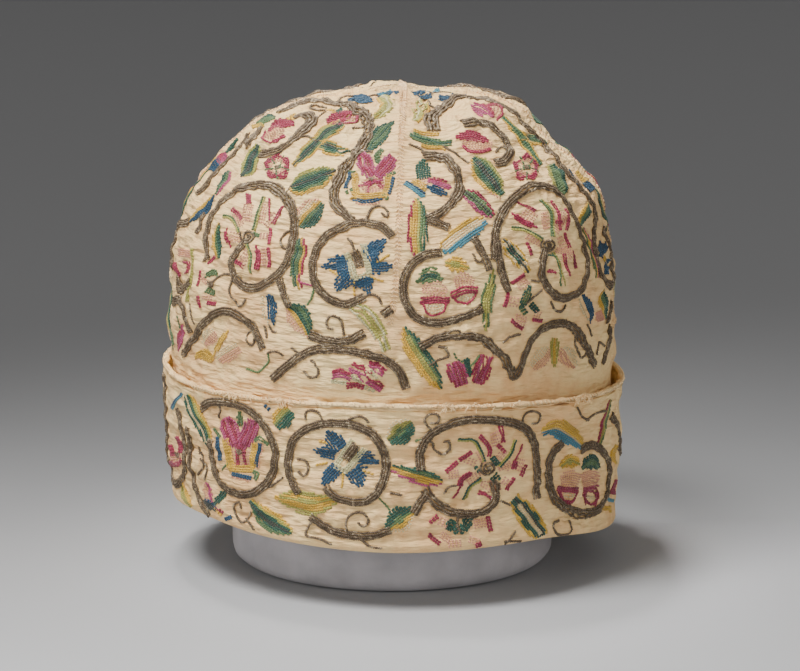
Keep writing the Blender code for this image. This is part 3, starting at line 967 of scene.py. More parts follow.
BRAID_STITCH = {"pitch": 0.84 * MM, "length": 1.35 * MM, "width": 0.98 * MM, "height": 0.95 * MM}
half = len(crown_stems) // 2
for name, tree, lines in (
    ("crown_stems_front", crown_cloth, crown_stems[:half]),
    ("crown_stems_back", crown_cloth, crown_stems[half:]),
    ("cuff_stems", cuff_cloth, cuff_stems),
):
    stitched(name, braid_rows(tree, lines), metal_thread, "metal_thread", seed=3, **BRAID_STITCH)

# Tendrils
# Thin twisted strands of the same metal thread, and the coiled knobs of the flowers. Both are single
# stitches laid end to end on the linen.

CROWN_TENDRILS = (
    ((366, 219), (372, 208), (381, 205), (388, 211), (387, 218), (382, 214)),
    ((364, 297), (372, 294), (379, 297), (381, 304)),
    ((349, 240), (353, 246), (356, 252)),
    ((228, 274), (219, 275), (212, 283)),
    ((231, 281), (230, 293), (239, 307), (245, 300)),
    ((289, 231), (283, 234), (281, 242), (285, 250), (289, 246)),
    ((336, 97), (343, 93), (352, 92)),
    ((368, 94), (380, 94)),
    ((326, 106), (318, 104), (310, 107), (315, 111), (325, 108)),
    ((353, 124), (354, 121), (361, 121)),
    ((316, 118), (326, 113)),
    ((299, 138), (307, 136), (315, 139)),
    ((356, 149), (364, 148), (371, 151)),
    ((284, 190), (289, 186)),
    ((264, 327), (267, 337)),
    ((268, 326), (271, 331), (275, 332)),
    ((344, 334), (343, 323), (335, 316), (327, 320), (328, 328), (334, 328)),
    ((312, 361), (319, 366), (318, 375), (310, 377), (305, 371)),
    ((292, 348), (297, 352), (303, 356)),
    ((269, 353), (277, 351), (283, 355)),
    ((252, 329), (247, 334), (248, 343), (253, 346), (254, 340)),
    ((192, 305), (195, 323)),
    ((430, 92), (442, 91), (453, 93)),
    ((427, 98), (434, 104)),
    ((410, 144), (418, 147), (425, 151)),
    ((443, 143), (455, 152), (468, 162)),
    ((496, 152), (500, 147), (504, 149)),
    ((481, 262), (474, 261), (473, 255)),
    ((525, 301), (531, 296), (540, 290)),
    ((589, 325), (593, 335)),
    ((500, 342), (508, 337), (518, 335)),
    ((430, 364), (440, 359), (450, 355), (447, 348), (440, 346)),
    ((578, 336), (579, 350), (584, 359), (588, 353)),
    ((597, 354), (599, 342), (603, 346)),
    ((549, 301), (554, 309), (563, 312), (566, 306)),
    ((538, 282), (531, 281)),
)
CUFF_TENDRILS = (
    ((298, 459), (306, 461), (309, 470), (304, 476), (299, 472)),
    ((344, 423), (351, 418), (362, 416), (368, 421)),
    ((324, 421), (320, 413), (312, 410), (306, 412), (307, 418)),
    ((218, 404), (221, 410), (217, 418)),
    ((262, 489), (272, 486), (281, 478)),
    ((248, 514), (243, 523), (235, 514), (233, 505), (239, 502), (240, 508)),
    ((245, 518), (254, 529)),
    ((196, 450), (203, 457), (203, 467), (198, 474)),
    ((201, 459), (207, 468), (205, 479)),
    ((391, 493), (401, 495)),
    ((347, 531), (347, 520), (353, 513), (364, 513), (369, 520), (364, 527), (359, 523)),
    ((313, 520), (307, 529), (306, 536), (318, 538), (331, 544)),
    ((361, 539), (369, 546), (381, 548)),
    ((431, 430), (424, 420), (430, 414), (439, 415), (438, 423), (431, 423)),
    ((524, 427), (524, 416), (532, 411), (541, 415), (538, 423), (532, 423)),
    ((432, 443), (436, 451), (444, 455), (451, 448), (450, 441), (444, 444)),
    ((446, 495), (449, 488), (456, 486)),
    ((459, 514), (457, 524), (460, 531)),
    ((502, 501), (511, 505)),
    ((497, 549), (508, 541), (515, 532)),
    ((505, 541), (520, 541)),
    ((605, 411), (596, 412), (586, 420)),
    ((576, 408), (580, 416), (588, 420)),
    ((560, 520), (554, 524), (555, 532), (563, 536), (571, 531), (571, 520)),
)
# Coiled knobs: middle and radius in pixels
CROWN_KNOBS = (
    (249, 237, 7.5), (548, 245, 7.5), (211, 284, 3.5), (371, 178, 3.0), (277, 166, 2.5), (526, 168, 2.5),
)
CUFF_KNOBS = ((490, 470, 8.5), (239, 452, 3.0), (177, 455, 2.5))
KNOB_TURNS = 2.6
KNOB_START = 0.15
KNOB_POINTS = 30
TENDRIL_LIFT = 0.3 * MM
TENDRIL_LEAN = 0.8
TENDRIL_STITCH = {"pitch": 0.85 * MM, "length": 1.5 * MM, "width": 1.1 * MM, "height": 1.0 * MM}


def knob_line(x, y, radius):
    """A coil from near a middle out to a radius."""
    turns = np.linspace(KNOB_START, KNOB_TURNS, KNOB_POINTS)
    reaches, angles = radius * turns / KNOB_TURNS, 2.0 * math.pi * turns
    return list(zip(x + reaches * np.cos(angles), y + reaches * np.sin(angles)))


def tendril_rows(tree, lines):
    rows = []
    for line in lines:
        points, ups = laid(tree, line, TENDRIL_LIFT)
        rows.append(Row(points, ups, BRAID_COLOUR, TENDRIL_LEAN, 1.0))
    return rows


crown_tendrils = charted(crown_tree, list(CROWN_TENDRILS) + [knob_line(*knob) for knob in CROWN_KNOBS])
crown_tendrils += [turned_crown(line) for line in crown_tendrils]
cuff_tendrils = charted(cuff_tree, list(CUFF_TENDRILS) + [knob_line(*knob) for knob in CUFF_KNOBS])
cuff_tendrils += [turned_cuff(line) for line in cuff_tendrils]
for name, tree, lines in (
    ("crown_tendrils", crown_cloth, crown_tendrils),
    ("cuff_tendrils", cuff_cloth, cuff_tendrils),
):
    stitched(name, tendril_rows(tree, lines), metal_thread, "metal_thread", seed=5, **TENDRIL_STITCH)

# Silk
# Leaves, fruits and flowers worked on the linen in rows of silk stitches, whose colour changes row by row.
# A patch is a set of bands and a spine. The bands run along the spine, named from its left side to its
# right. The spine's points are x and y in pixels, and half the patch's width there.

SILKS = {
    "magenta": eye(146, 34, 66),
    "rose": eye(168, 67, 108),
    "blush": eye(214, 152, 126),
    "cream": eye(222, 206, 160),
    "sage": eye(196, 188, 140),
    "yellow": eye(206, 164, 50),
    "lime": eye(160, 156, 72),
    "green": eye(83, 110, 67),
    "teal": eye(28, 77, 60),
    "blue": eye(16, 66, 94),
    "sky": eye(60, 122, 140),
    "ink": eye(56, 62, 54),
}
# Pale silks that lie thinner on the cloth
THIN_SILKS = ("blush", "cream")
THIN_SIZE = 0.66
CROWN_SILK = (
    ("blue", (346, 97, 1), (355, 94, 3), (363, 96, 4), (371, 98, 1)),
    ("blue", (380, 94.5, 0.8), (390, 95, 1.5), (399, 94, 0.8)),
    ("sky", (378, 93, 0.8), (390, 90.5, 0.8)),
    ("lime sage lime lime yellow", (380, 97, 4), (387, 104, 6), (385, 110, 6), (375, 114, 3.5)),
    ("teal green teal green teal", (367, 149, 1), (371, 142, 6), (380, 134, 8), (388, 126, 4), (393, 121, 1)),
    ("green", (381, 149, 2), (377, 155, 3), (379, 161, 2)),
    ("rose magenta rose magenta rose", (360, 153, 5), (363, 159, 7.5), (367, 167, 7.5), (371, 174, 4)),
    ("rose magenta rose magenta rose", (392, 157, 5), (388, 162, 7), (382, 169, 7), (377, 175, 3.5)),
    ("yellow lime teal ink teal green yellow", (295, 165, 2), (305, 152, 5), (316, 140, 6), (330, 127, 6),
     (339, 120, 4)),
    ("yellow green ink teal green yellow", (318, 143, 4), (330, 146, 7), (346, 148, 2)),
    ("magenta", (328, 119, 2), (338, 115, 5), (348, 110, 4), (353, 108, 1)),
    ("magenta", (357, 110, 1), (355, 116, 1), (346, 119, 1), (337, 121, 1)),
    ("blush", (341, 119, 1.5), (349, 115, 4), (355, 111, 1.5)),
    ("teal", (341, 106, 1), (338, 110, 2)),
    ("yellow", (328, 110, 1.5), (335, 111, 1.2)),
    ("magenta", (270, 131, 1), (280, 125, 4), (293, 124, 2)),
    ("blush", (266, 137, 2.5), (274, 134, 6.5), (283, 130, 2.5)),
    ("magenta", (265, 132, 1), (262, 138, 1), (268, 142, 1), (276, 141, 1), (284, 136, 1)),
    ("teal green", (259, 124, 1), (268, 120, 4), (276, 120, 1)),
    ("yellow", (288, 120, 1.5), (295, 116, 2)),
    ("yellow", (254, 128, 1), (264, 126, 1.5)),
    ("lime teal ink teal lime", (258, 146, 2), (253, 156, 6), (247, 168, 6), (242, 177, 1)),
    ("teal", (239, 142, 1), (229, 154, 1.5)),
    ("rose magenta", (228, 156, 2), (224, 161, 4), (221, 166, 2)),
    ("blue", (221, 165, 2), (214, 171, 3)),
    ("lime green teal ink teal green yellow", (289, 186, 1), (297, 186, 9), (311, 180, 12), (323, 174, 9),
     (334, 170, 1)),
    ("yellow yellow", (354, 172, 3.5), (355, 185, 3.5), (357, 196, 3)),
    ("yellow yellow", (389, 174, 3.5), (387, 185, 3.5), (384, 196, 3)),
    ("yellow yellow", (352, 194, 3), (368, 196, 3.5), (386, 194, 3)),
    ("blush rose blush blush", (361, 181, 4), (371, 184, 9), (382, 181, 4)),
    ("magenta", (370, 180, 1.5), (368, 191, 1.5)),
    ("magenta", (369, 180, 1), (359, 184, 1.5)),
    ("magenta", (373, 180, 1), (382, 185, 1.5)),
    ("blue blue", (349, 171, 2), (345, 186, 2)),
    ("blue blue", (393, 177, 2), (389, 192, 2)),
    ("blue blue blush", (353, 199, 2), (366, 203, 3.5), (381, 199, 2)),
    ("green", (345, 164, 1), (352, 170, 2)),
    ("green", (344, 192, 1), (351, 189, 2)),
    ("green", (394, 171, 1), (388, 174, 2)),
    ("green", (388, 199, 1), (384, 195, 2)),
    ("rose green teal", (229, 172, 2), (224, 182, 4), (217, 194, 1)),
    ("blue blue yellow", (214, 196, 1), (203, 208, 4), (190, 221, 1)),
    ("teal green yellow", (221, 224, 1), (217, 240, 5), (218, 257, 3)),
    ("magenta", (248, 194, 2), (249, 203, 2.5)),
    ("blush", (249, 205, 5), (248, 221, 4)),
    ("magenta", (231, 208, 1), (238, 214, 2.5), (243, 221, 1)),
    ("green lime", (225, 217, 1.5), (233, 220, 2), (241, 232, 1.5)),
    ("lime green", (263, 197, 1.5), (259, 212, 2), (254, 229, 1.5)),
    ("magenta", (269, 199, 1.2), (269, 219, 1.2)),
    ("blush blush", (265, 204, 3), (261, 222, 3)),
    ("blush blush", (276, 214, 5), (266, 225, 3)),
    ("blush blush", (236, 214, 4), (243, 227, 3)),
    ("blush blush", (244, 262, 4), (247, 251, 2.5)),
    ("magenta", (282, 207, 1), (277, 216, 2), (273, 224, 1)),
    ("green", (254, 234, 2), (260, 236, 1)),
    ("blush", (261, 236, 4), (267, 236, 4)),
    ("magenta", (270, 229, 1.5), (270, 243, 1.5)),
    ("magenta", (229, 230, 1), (228, 238, 2.5), (230, 246, 1)),
    ("blush", (233, 238, 5), (241, 238, 4)),
    ("green lime", (247, 242, 1), (251, 254, 2), (250, 272, 1)),
    ("magenta", (257, 247, 1), (259, 256, 2.5), (257, 268, 2)),
    ("blush", (264, 249, 2.5), (264, 265, 2.5)),
    ("magenta", (269, 249, 1), (270, 258, 1.6), (269, 266, 1)),
    ("magenta", (237, 262, 1.5), (244, 266, 2)),
    ("blush cream yellow green teal teal", (299, 224, 5), (306, 217, 12), (313, 209, 12), (320, 202, 4)),
    ("magenta yellow green teal green", (300, 238, 3), (301, 250, 6), (297, 270, 6), (299, 288, 3)),
    ("rose", (301, 281, 1), (311, 285, 1)),
    ("blue", (371, 253, 8), (377, 247, 7), (385, 240, 2)),
    ("blue", (373, 267, 8), (382, 267, 6), (393, 266, 1)),
    ("blue blue", (367, 247, 4), (373, 257, 5.5), (377, 267, 4)),
    ("blue blue", (342, 258, 4), (343, 268, 6), (346, 278, 4)),
    ("blue blue", (354, 284, 4), (364, 281, 5), (372, 280, 3)),
    ("blue", (344, 263, 9), (335, 264, 7), (323, 267, 1.5)),
    ("blue", (350, 276, 7), (343, 282, 7), (336, 289, 2)),
    ("blue", (364, 280, 8), (367, 286, 6), (369, 293, 1.5)),
    ("sage sage", (347, 254, 3), (351, 266, 3.2), (355, 278, 3)),
    ("sage sage", (364, 246, 3), (367, 260, 3.2), (369, 273, 3)),
    ("sage sage", (357, 277, 2.5), (368, 275, 2.5)),
    ("yellow", (331, 271, 1), (339, 276, 1.2)),
    ("yellow", (354, 282, 1.2), (354, 294, 1)),
    ("yellow", (371, 277, 1), (382, 281, 1.2)),
    ("yellow", (378, 261, 1), (388, 256, 1.2)),
    ("green", (206, 277, 1), (212, 272, 3), (216, 276, 1)),
    ("green", (207, 290, 2), (213, 293, 3)),
    ("magenta", (201, 272, 1.2), (199, 285, 1.2)),
    ("magenta", (200, 297, 1), (201, 306, 1.2)),
    ("magenta", (209, 303, 2), (216, 304, 2)),
    ("magenta", (207, 262, 1.5), (213, 257, 1)),
    ("blush", (203, 278, 2.5), (207, 283, 2.5)),
    ("blush", (204, 297, 2.5), (211, 298, 2.5)),
    ("magenta", (176, 264, 1), (177, 276, 1.5)),
    ("magenta", (182, 262, 1.2), (187, 263, 1.5), (187, 271, 1.2), (183, 273, 1)),
    ("blush", (178, 252, 4), (190, 254, 4)),
    ("lime", (193, 250, 1), (191, 275, 1.5), (189, 300, 1)),
    ("lime", (185, 190, 1), (181, 215, 1.5)),
    ("magenta", (197, 186, 1), (188, 203, 1.5), (182, 219, 1)),
    ("rose magenta", (184, 326, 1), (182, 338, 3), (180, 350, 1)),
    ("green", (180, 317, 1), (181, 327, 1)),
    ("green", (173, 330, 1), (175, 343, 1)),
    ("blue blue blue none cream", (267, 296, 5), (268, 310, 8), (271, 325, 2)),
    ("teal green teal yellow blush blush", (287, 307, 3), (296, 314, 13), (303, 325, 10), (308, 336, 2)),
    ("green", (314, 289, 0.8), (312, 297, 0.8), (308, 304, 0.8)),
    ("magenta rose", (334, 373, 4.4), (343, 372, 4.6), (352, 375, 4.4)),
    ("magenta", (348, 384, 3.2), (356, 383, 3.4), (363, 385, 3.2)),
    ("magenta rose", (353, 366, 4.2), (361, 370, 4.6), (367, 375, 4.2)),
    ("magenta rose", (368, 378, 4.2), (375, 383, 4.6), (381, 388, 3.8)),
    ("magenta rose", (370, 364, 4.2), (377, 367, 4.6), (383, 372, 4.2)),
    ("sage sage", (334, 380, 1.8), (346, 381, 1.8)),
    ("sage sage", (354, 374, 1.8), (362, 379, 1.8)),
    ("sage sage", (366, 386, 1.8), (373, 390, 1.8)),
    ("sage sage", (369, 371, 1.8), (375, 376, 1.8)),
    ("cream blush", (204, 344, 4), (210, 337, 8), (215, 332, 5)),
    ("yellow", (227, 331, 1), (221, 341, 2.5), (214, 355, 1)),
    ("yellow yellow", (196, 357, 2), (204, 354, 6), (212, 360, 3)),
    ("cream blush", (219, 360, 4), (228, 354, 8), (238, 348, 5)),
    ("green", (270, 354, 0.8), (268, 363, 0.8), (258, 372, 0.8), (246, 369, 0.8)),
    ("lime sage lime lime sage", (353, 306, 4), (366, 314, 7), (378, 330, 7), (386, 349, 4)),
    ("teal green lime yellow yellow", (404, 327, 1), (411, 343, 9), (424, 363, 10), (434, 378, 7),
     (441, 389, 1)),
    ("blue", (413, 91, 1), (424, 91, 1.5)),
    ("sky", (429, 90, 1), (438, 88, 1)),
    ("blue", (415, 94, 1), (430, 95, 1.5)),
    ("blue", (440, 97, 1), (450, 100, 2)),
    ("blue", (452, 98, 1), (465, 99, 3)),
    ("yellow lime lime sage lime", (424, 97, 4.5), (422, 107, 6.5), (416, 118, 4.5)),
    ("green teal green", (411, 135, 3), (430, 138, 4), (450, 141, 2)),
    ("yellow", (415, 130, 1.8), (437, 131, 1.8)),
    ("yellow", (423, 144, 1.5), (443, 145, 1.5)),
    ("lime green teal ink teal green yellow", (474, 158, 3), (481, 167, 10), (492, 181, 10.5), (502, 193, 4)),
    ("blush", (489, 191, 1.5), (500, 198, 1.5)),
    ("magenta green ink green rose", (466, 193, 4), (477, 202, 9), (492, 215, 3)),
    ("teal teal teal", (424, 159, 3), (423, 168, 7.5), (424, 178, 6)),
    ("blush", (423, 179, 5), (424, 185, 4)),
    ("magenta rose", (429, 181, 3), (440, 183, 5), (450, 187, 2)),
    ("blue blue", (428, 188, 2), (438, 191, 4), (446, 194, 2)),
    ("yellow yellow", (413, 181, 2), (420, 185, 4), (425, 190, 2)),
    ("blue sky", (406, 182, 2), (415, 189, 3), (424, 196, 2)),
    ("magenta magenta", (457, 137, 2), (472, 136, 5), (487, 141, 2)),
    ("blush blush", (463, 143, 4), (478, 146, 6.5), (491, 145, 2.5)),
    ("magenta", (464, 146, 1), (470, 151, 1.2), (480, 152, 1.2), (490, 149, 1)),
    ("magenta rose", (473, 108, 2), (482, 112, 6), (491, 118, 3)),
    ("blush", (490, 111, 4), (498, 114, 5)),
    ("magenta", (488, 108, 1), (498, 109, 1), (501, 115, 1), (496, 121, 1)),
    ("yellow green teal green yellow", (503, 119, 2), (514, 131, 4), (528, 147, 4.5), (541, 163, 2)),
    ("green teal green yellow", (521, 139, 2), (535, 139, 4), (548, 143, 2)),
    ("teal green green lime", (552, 165, 4), (556, 175, 8), (560, 186, 8), (564, 193, 4)),
    ("teal green lime yellow yellow magenta", (417, 199, 3), (418, 215, 9.5), (417, 236, 10), (418, 257, 5)),
    ("yellow cream cream sky sky", (443, 250, 6), (455, 240, 9), (470, 229, 10), (484, 221, 5)),
    ("lime green", (541, 201, 1.5), (551, 214, 2), (551, 236, 1.5)),
    ("magenta", (551, 202, 1), (557, 213, 1.5), (560, 229, 1)),
    ("blush blush", (563, 215, 4), (556, 233, 3)),
    ("blush blush", (569, 255, 5), (556, 250, 3)),
    ("blush blush", (528, 236, 4), (541, 243, 3)),
    ("magenta", (556, 222, 2), (561, 222, 2)),
    ("magenta", (565, 211, 1), (567, 220, 1.5), (566, 229, 1)),
    ("magenta", (565, 234, 1.5), (568, 247, 1.5)),
    ("magenta", (519, 201, 1.2), (534, 211, 2)),
    ("magenta", (512, 214, 1.2), (524, 222, 2.5), (536, 227, 1.2)),
    ("blush blush", (524, 212, 4), (534, 219, 5)),
    ("green lime", (513, 228, 1.5), (526, 230, 2), (541, 239, 1.5)),
    ("blush", (559, 238, 4), (563, 248, 4)),
    ("blush", (543, 214, 4), (546, 228, 4)),
    ("lime green", (553, 254, 1), (558, 268, 1.8), (560, 285, 1)),
    ("magenta", (562, 256, 1.2), (566, 275, 1.8)),
    ("magenta", (571, 252, 1), (575, 267, 1.8)),
    ("magenta", (547, 271, 1.8), (553, 274, 1.8)),
    ("teal", (545, 256, 1.5), (554, 257, 1.5)),
    ("green teal green", (417, 281, 1.5), (430, 275, 8), (441, 280, 1.5)),
    ("blush blush", (423, 292, 6.5), (434, 291, 10.5), (445, 293, 6.5)),
    ("magenta", (421, 301, 3.4), (434, 300, 3.8), (447, 300, 3.4)),
    ("magenta", (422, 304, 1.3), (426, 312, 1.5), (434, 315, 1.5), (442, 311, 1.5), (446, 304, 1.3)),
    ("cream", (427, 307, 2.5), (434, 309, 3.5), (442, 307, 2.5)),
    ("yellow lime yellow", (446, 264, 3), (455, 265, 8), (468, 268, 2)),
    ("blush blush", (454, 283, 6.5), (464, 282, 10.5), (472, 284, 5)),
    ("magenta", (452, 294, 3.4), (464, 290, 3.8), (476, 290, 3.4)),
    ("magenta", (454, 297, 1.3), (459, 302, 1.5), (468, 303, 1.5), (475, 295, 1.3)),
    ("cream", (458, 297, 2.5), (465, 298, 3), (472, 295, 2.5)),
    ("green lime lime green", (493, 270, 1), (489, 288, 5.5), (485, 305, 5.5), (485, 329, 2)),
    ("yellow cream teal ink teal cream yellow", (504, 241, 3), (514, 254, 8), (527, 271, 2)),
    ("magenta", (528, 243, 1.5), (531, 254, 1.5)),
    ("magenta", (512, 283, 2), (523, 275, 2)),
    ("blush blush", (517, 286, 5), (526, 281, 5)),
    ("teal green teal", (527, 288, 1), (524, 296, 4), (520, 306, 2)),
    ("magenta", (507, 294, 1), (504, 305, 1.8)),
    ("blush blush", (509, 301, 5), (516, 302, 4)),
    ("magenta", (510, 321, 2), (521, 328, 2)),
    ("magenta", (532, 320, 1.8), (542, 321, 1.8)),
    ("teal green", (521, 307, 3), (525, 313, 3)),
    ("teal", (530, 304, 3), (536, 310, 3)),
    ("blush blush", (515, 318, 5), (524, 321, 5)),
    ("blush", (534, 314, 5), (540, 316, 5)),
    ("blue blue none cream", (582, 296, 3), (587, 308, 6), (591, 323, 1)),
    ("teal green yellow", (588, 204, 1), (585, 214, 5), (580, 226, 1)),
    ("rose yellow green", (585, 229, 1), (592, 250, 3), (598, 277, 1)),
    ("magenta rose magenta", (557, 147, 3), (566, 153, 6), (575, 163, 2)),
    ("magenta", (575, 164, 2), (580, 168, 2)),
    ("yellow", (579, 171, 2), (586, 180, 3)),
    ("blue", (586, 182, 2), (592, 190, 3)),
    ("blue", (570, 170, 2), (578, 183, 2)),
    ("blue", (605, 242, 2), (604, 250, 4), (603, 256, 2)),
    ("yellow", (607, 257, 1), (609, 264, 1)),
    ("blue", (609, 260, 2), (607, 273, 2)),
    ("teal green yellow", (603, 290, 1), (603, 303, 4), (606, 318, 1)),
    ("blush", (598, 312, 4), (602, 320, 4)),
    ("rose magenta rose magenta rose magenta", (453, 363, 7), (457, 373, 9.5), (461, 384, 6.5)),
    ("magenta rose magenta rose magenta", (484, 357, 6), (481, 369, 9), (477, 382, 5.5)),
    ("green", (453, 353, 1), (461, 360, 1)),
    ("teal", (466, 357, 2), (467, 368, 3), (469, 375, 1)),
    ("green", (476, 357, 1), (470, 364, 1)),
    ("cream blush", (532, 367, 4), (541, 358, 9), (549, 349, 4)),
    ("cream blush", (564, 349, 4), (570, 358, 9), (577, 367, 3)),
    ("lime yellow lime", (557, 340, 4), (556, 352, 5), (556, 366, 2)),
    ("magenta", (613, 341, 1), (612, 356, 2)),
)
CUFF_SILK = (
    ("sky blue", (181, 394, 1), (173, 408, 1.5)),
    ("yellow lime teal cream teal", (187, 396, 3), (195, 414, 6), (204, 432, 5), (210, 447, 2)),
    ("rose magenta rose magenta rose", (224, 420, 6), (228, 428, 8.5), (234, 440, 7), (238, 448, 3)),
    ("rose magenta rose magenta rose", (253, 421, 6), (250, 430, 8.5), (245, 441, 7), (240, 449, 3)),
    ("yellow yellow", (226, 440, 3.5), (228, 455, 3.5), (230, 467, 3.5)),
    ("yellow yellow", (255, 444, 3.5), (253, 456, 3.5), (252, 467, 3.5)),
    ("yellow yellow", (230, 468, 3.5), (252, 469, 3.5)),
    ("blush magenta blush magenta blush", (240, 452, 9), (240, 465, 9)),
    ("green", (239, 413, 1), (239, 419, 3), (239, 425, 2)),
    ("green", (213, 430, 1), (219, 436, 1.5)),
    ("green", (254, 441, 1), (261, 438, 2), (268, 444, 1)),
    ("green", (222, 469, 1), (227, 464, 1)),
    ("green", (252, 471, 1), (257, 474, 2), (255, 480, 1)),
    ("blue blue", (217, 438, 2), (220, 459, 2)),
    ("blush blue blue", (261, 445, 3), (256, 467, 3)),
    ("blue blue blush", (232, 475, 3), (250, 479, 3)),
    ("blue", (263, 404, 2), (269, 409, 1.5)),
    ("yellow lime green teal teal", (277, 425, 5), (283, 418, 11), (291, 410, 6)),
    ("blue", (340, 448, 9), (334, 440, 8), (328, 431, 2.5)),
    ("blue", (334, 454, 6), (324, 452, 6), (314, 450, 1)),
    ("blue", (337, 468, 7), (330, 475, 7), (324, 483, 2)),
    ("blue", (359, 460, 9), (368, 460, 8), (378, 464, 2)),
    ("blue", (353, 471, 8), (358, 478, 8), (362, 486, 2)),
    ("sage sage", (352, 441, 3), (344, 453, 3.2), (337, 464, 3)),
    ("sage sage", (336, 466, 2.8), (346, 471, 2.8)),
    ("sage sage", (347, 469, 3), (356, 459, 3.2), (364, 450, 3)),
    ("yellow", (320, 441, 1.2), (328, 443, 1.2)),
    ("yellow", (317, 465, 1.2), (326, 463, 1.2)),
    ("yellow", (343, 474, 1.2), (343, 486, 1.2)),
    ("yellow", (364, 471, 1.2), (372, 474, 1.2)),
    ("lime yellow lime yellow yellow lime", (274, 497, 1), (290, 500, 9), (312, 504, 12), (335, 500, 4)),
    ("yellow lime teal ink teal green", (250, 502, 3), (262, 515, 9), (277, 525, 9), (291, 532, 3)),
    ("rose blush", (205, 484, 2), (207, 493, 4), (211, 502, 2)),
    ("blue ink", (204, 500, 2), (210, 505, 4), (216, 509, 2)),
    ("teal", (224, 492, 2), (220, 498, 4), (215, 504, 2)),
    ("magenta yellow", (216, 508, 1), (222, 513, 3)),
    ("blue", (226, 519, 2), (231, 517, 2)),
    ("magenta", (176, 438, 2), (179, 446, 3), (179, 452, 2)),
    ("magenta", (171, 446, 1), (173, 455, 2)),
    ("magenta", (171, 460, 1), (174, 466, 2), (180, 460, 1.5)),
    ("blush", (175, 456, 4), (177, 464, 4)),
    ("yellow lime", (180, 482, 1), (184, 495, 3), (193, 508, 1)),
    ("teal green yellow yellow rose", (390, 468, 2), (410, 474, 7), (428, 480, 8.5), (441, 483, 4)),
    ("cream lime green teal teal", (390, 440, 5), (399, 433, 13), (411, 424, 7)),
    ("teal teal green yellow cream", (388, 528, 4), (399, 520, 13), (412, 512, 5)),
    ("green", (417, 441, 0.8), (425, 442, 0.8)),
    ("green", (380, 499, 0.8), (389, 509, 0.8)),
    ("teal lime", (460, 441, 1.5), (474, 441, 2), (481, 452, 2), (485, 462, 1.5)),
    ("magenta", (472, 431, 1.2), (482, 438, 1.5), (490, 449, 2.5), (490, 456, 1.2)),
    ("blush", (493, 433, 5), (497, 445, 5)),
    ("magenta", (500, 427, 2), (503, 441, 2.5)),
    ("magenta", (498, 445, 1.5), (505, 452, 2)),
    ("teal lime", (515, 441, 1.5), (511, 454, 2), (502, 467, 1.5)),
    ("magenta", (523, 446, 1.2), (517, 459, 1.5), (515, 469, 2.5)),
    ("magenta", (527, 467, 1.5), (522, 475, 2)),
    ("blush", (522, 460, 4), (519, 470, 4)),
    ("blush", (504, 481, 5), (510, 484, 5)),
    ("magenta", (514, 479, 1.5), (509, 490, 2)),
    ("blush", (484, 486, 5), (492, 488, 5)),
    ("magenta", (481, 492, 2), (492, 497, 2.5)),
    ("lime teal", (483, 480, 1.5), (471, 488, 2), (466, 501, 1.5)),
    ("magenta", (472, 474, 2), (462, 480, 3), (460, 490, 1.5), (456, 499, 1.5)),
    ("blush", (466, 460, 4), (476, 464, 4)),
    ("magenta", (471, 453, 2), (461, 460, 2.5)),
    ("blush blush", (478, 452, 3), (485, 464, 3)),
    ("blush blush", (504, 452, 4), (497, 463, 3)),
    ("blush blush", (512, 466, 5), (501, 471, 3)),
    ("blush blush", (469, 482, 4), (481, 475, 3)),
    ("blush blush", (500, 492, 4), (494, 481, 3)),
    ("magenta", (457, 463, 2), (447, 471, 2.5)),
    ("blush", (449, 475, 5), (458, 474, 5)),
    ("teal", (494, 459, 3), (499, 465, 2)),
    ("teal", (495, 481, 3), (500, 477, 2)),
    ("teal", (477, 468, 2), (480, 472, 2)),
    ("teal", (448, 529, 2), (452, 524, 5), (456, 533, 3)),
    ("teal", (461, 532, 3), (467, 524, 5), (470, 519, 2)),
    ("magenta", (431, 522, 2), (438, 517, 2.5)),
    ("blush", (440, 521, 5), (447, 524, 4)),
    ("magenta", (430, 536, 2), (439, 543, 2.5)),
    ("blush", (442, 535, 4), (449, 540, 4)),
    ("magenta", (450, 549, 2), (460, 550, 2)),
    ("blush", (449, 544, 4), (460, 543, 4)),
    ("magenta", (472, 547, 2), (480, 544, 2.5)),
    ("blush", (470, 539, 4), (478, 542, 4)),
    ("magenta", (488, 518, 2.5), (491, 530, 2)),
    ("blush", (475, 524, 5), (486, 523, 5)),
    ("yellow teal ink cream teal teal yellow", (516, 500, 6), (527, 514, 11), (538, 530, 10), (543, 539, 3)),
    ("yellow yellow cream sky sky", (543, 432, 4), (556, 428, 9), (570, 436, 9), (582, 446, 4)),
    ("yellow lime yellow", (562, 466, 2), (571, 461, 7), (579, 464, 2)),
    ("teal green teal", (583, 468, 2), (592, 462, 8), (600, 468, 2)),
    ("blush blush", (562, 481, 6.5), (571, 479, 9), (580, 481, 6.5)),
    ("blush blush", (584, 481, 6.5), (593, 479, 9), (602, 481, 6.5)),
    ("magenta", (560, 490, 3.2), (580, 491, 3.2)),
    ("magenta", (562, 494, 1.2), (566, 502, 1.4), (574, 502, 1.4), (579, 494, 1.2)),
    ("magenta", (586, 491, 3.2), (602, 490, 3.2)),
    ("magenta", (587, 494, 1.2), (591, 504, 1.4), (597, 503, 1.4), (601, 493, 1.2)),
    ("cream", (566, 496, 2.2), (576, 496, 2.2)),
    ("cream", (590, 497, 2.2), (598, 497, 2.2)),
    ("green lime magenta", (611, 401, 1), (605, 422, 4), (599, 446, 1)),
    ("yellow", (616, 446, 2), (613, 455, 3), (616, 463, 1)),
    ("sky", (608, 499, 2), (615, 501, 2)),
    ("yellow yellow", (604, 507, 2), (612, 509, 4)),
    ("magenta", (616, 481, 1), (615, 493, 1.5)),
)
# Small roses: middle and radius in pixels
ROSES = ((277, 166, 11.5), (526, 168, 11.5))
# The step along a spine and the least half width, in pixels
SPINE_STEP = 1.6
NARROWEST = 0.4
SILK_ROW = 1.0 * MM
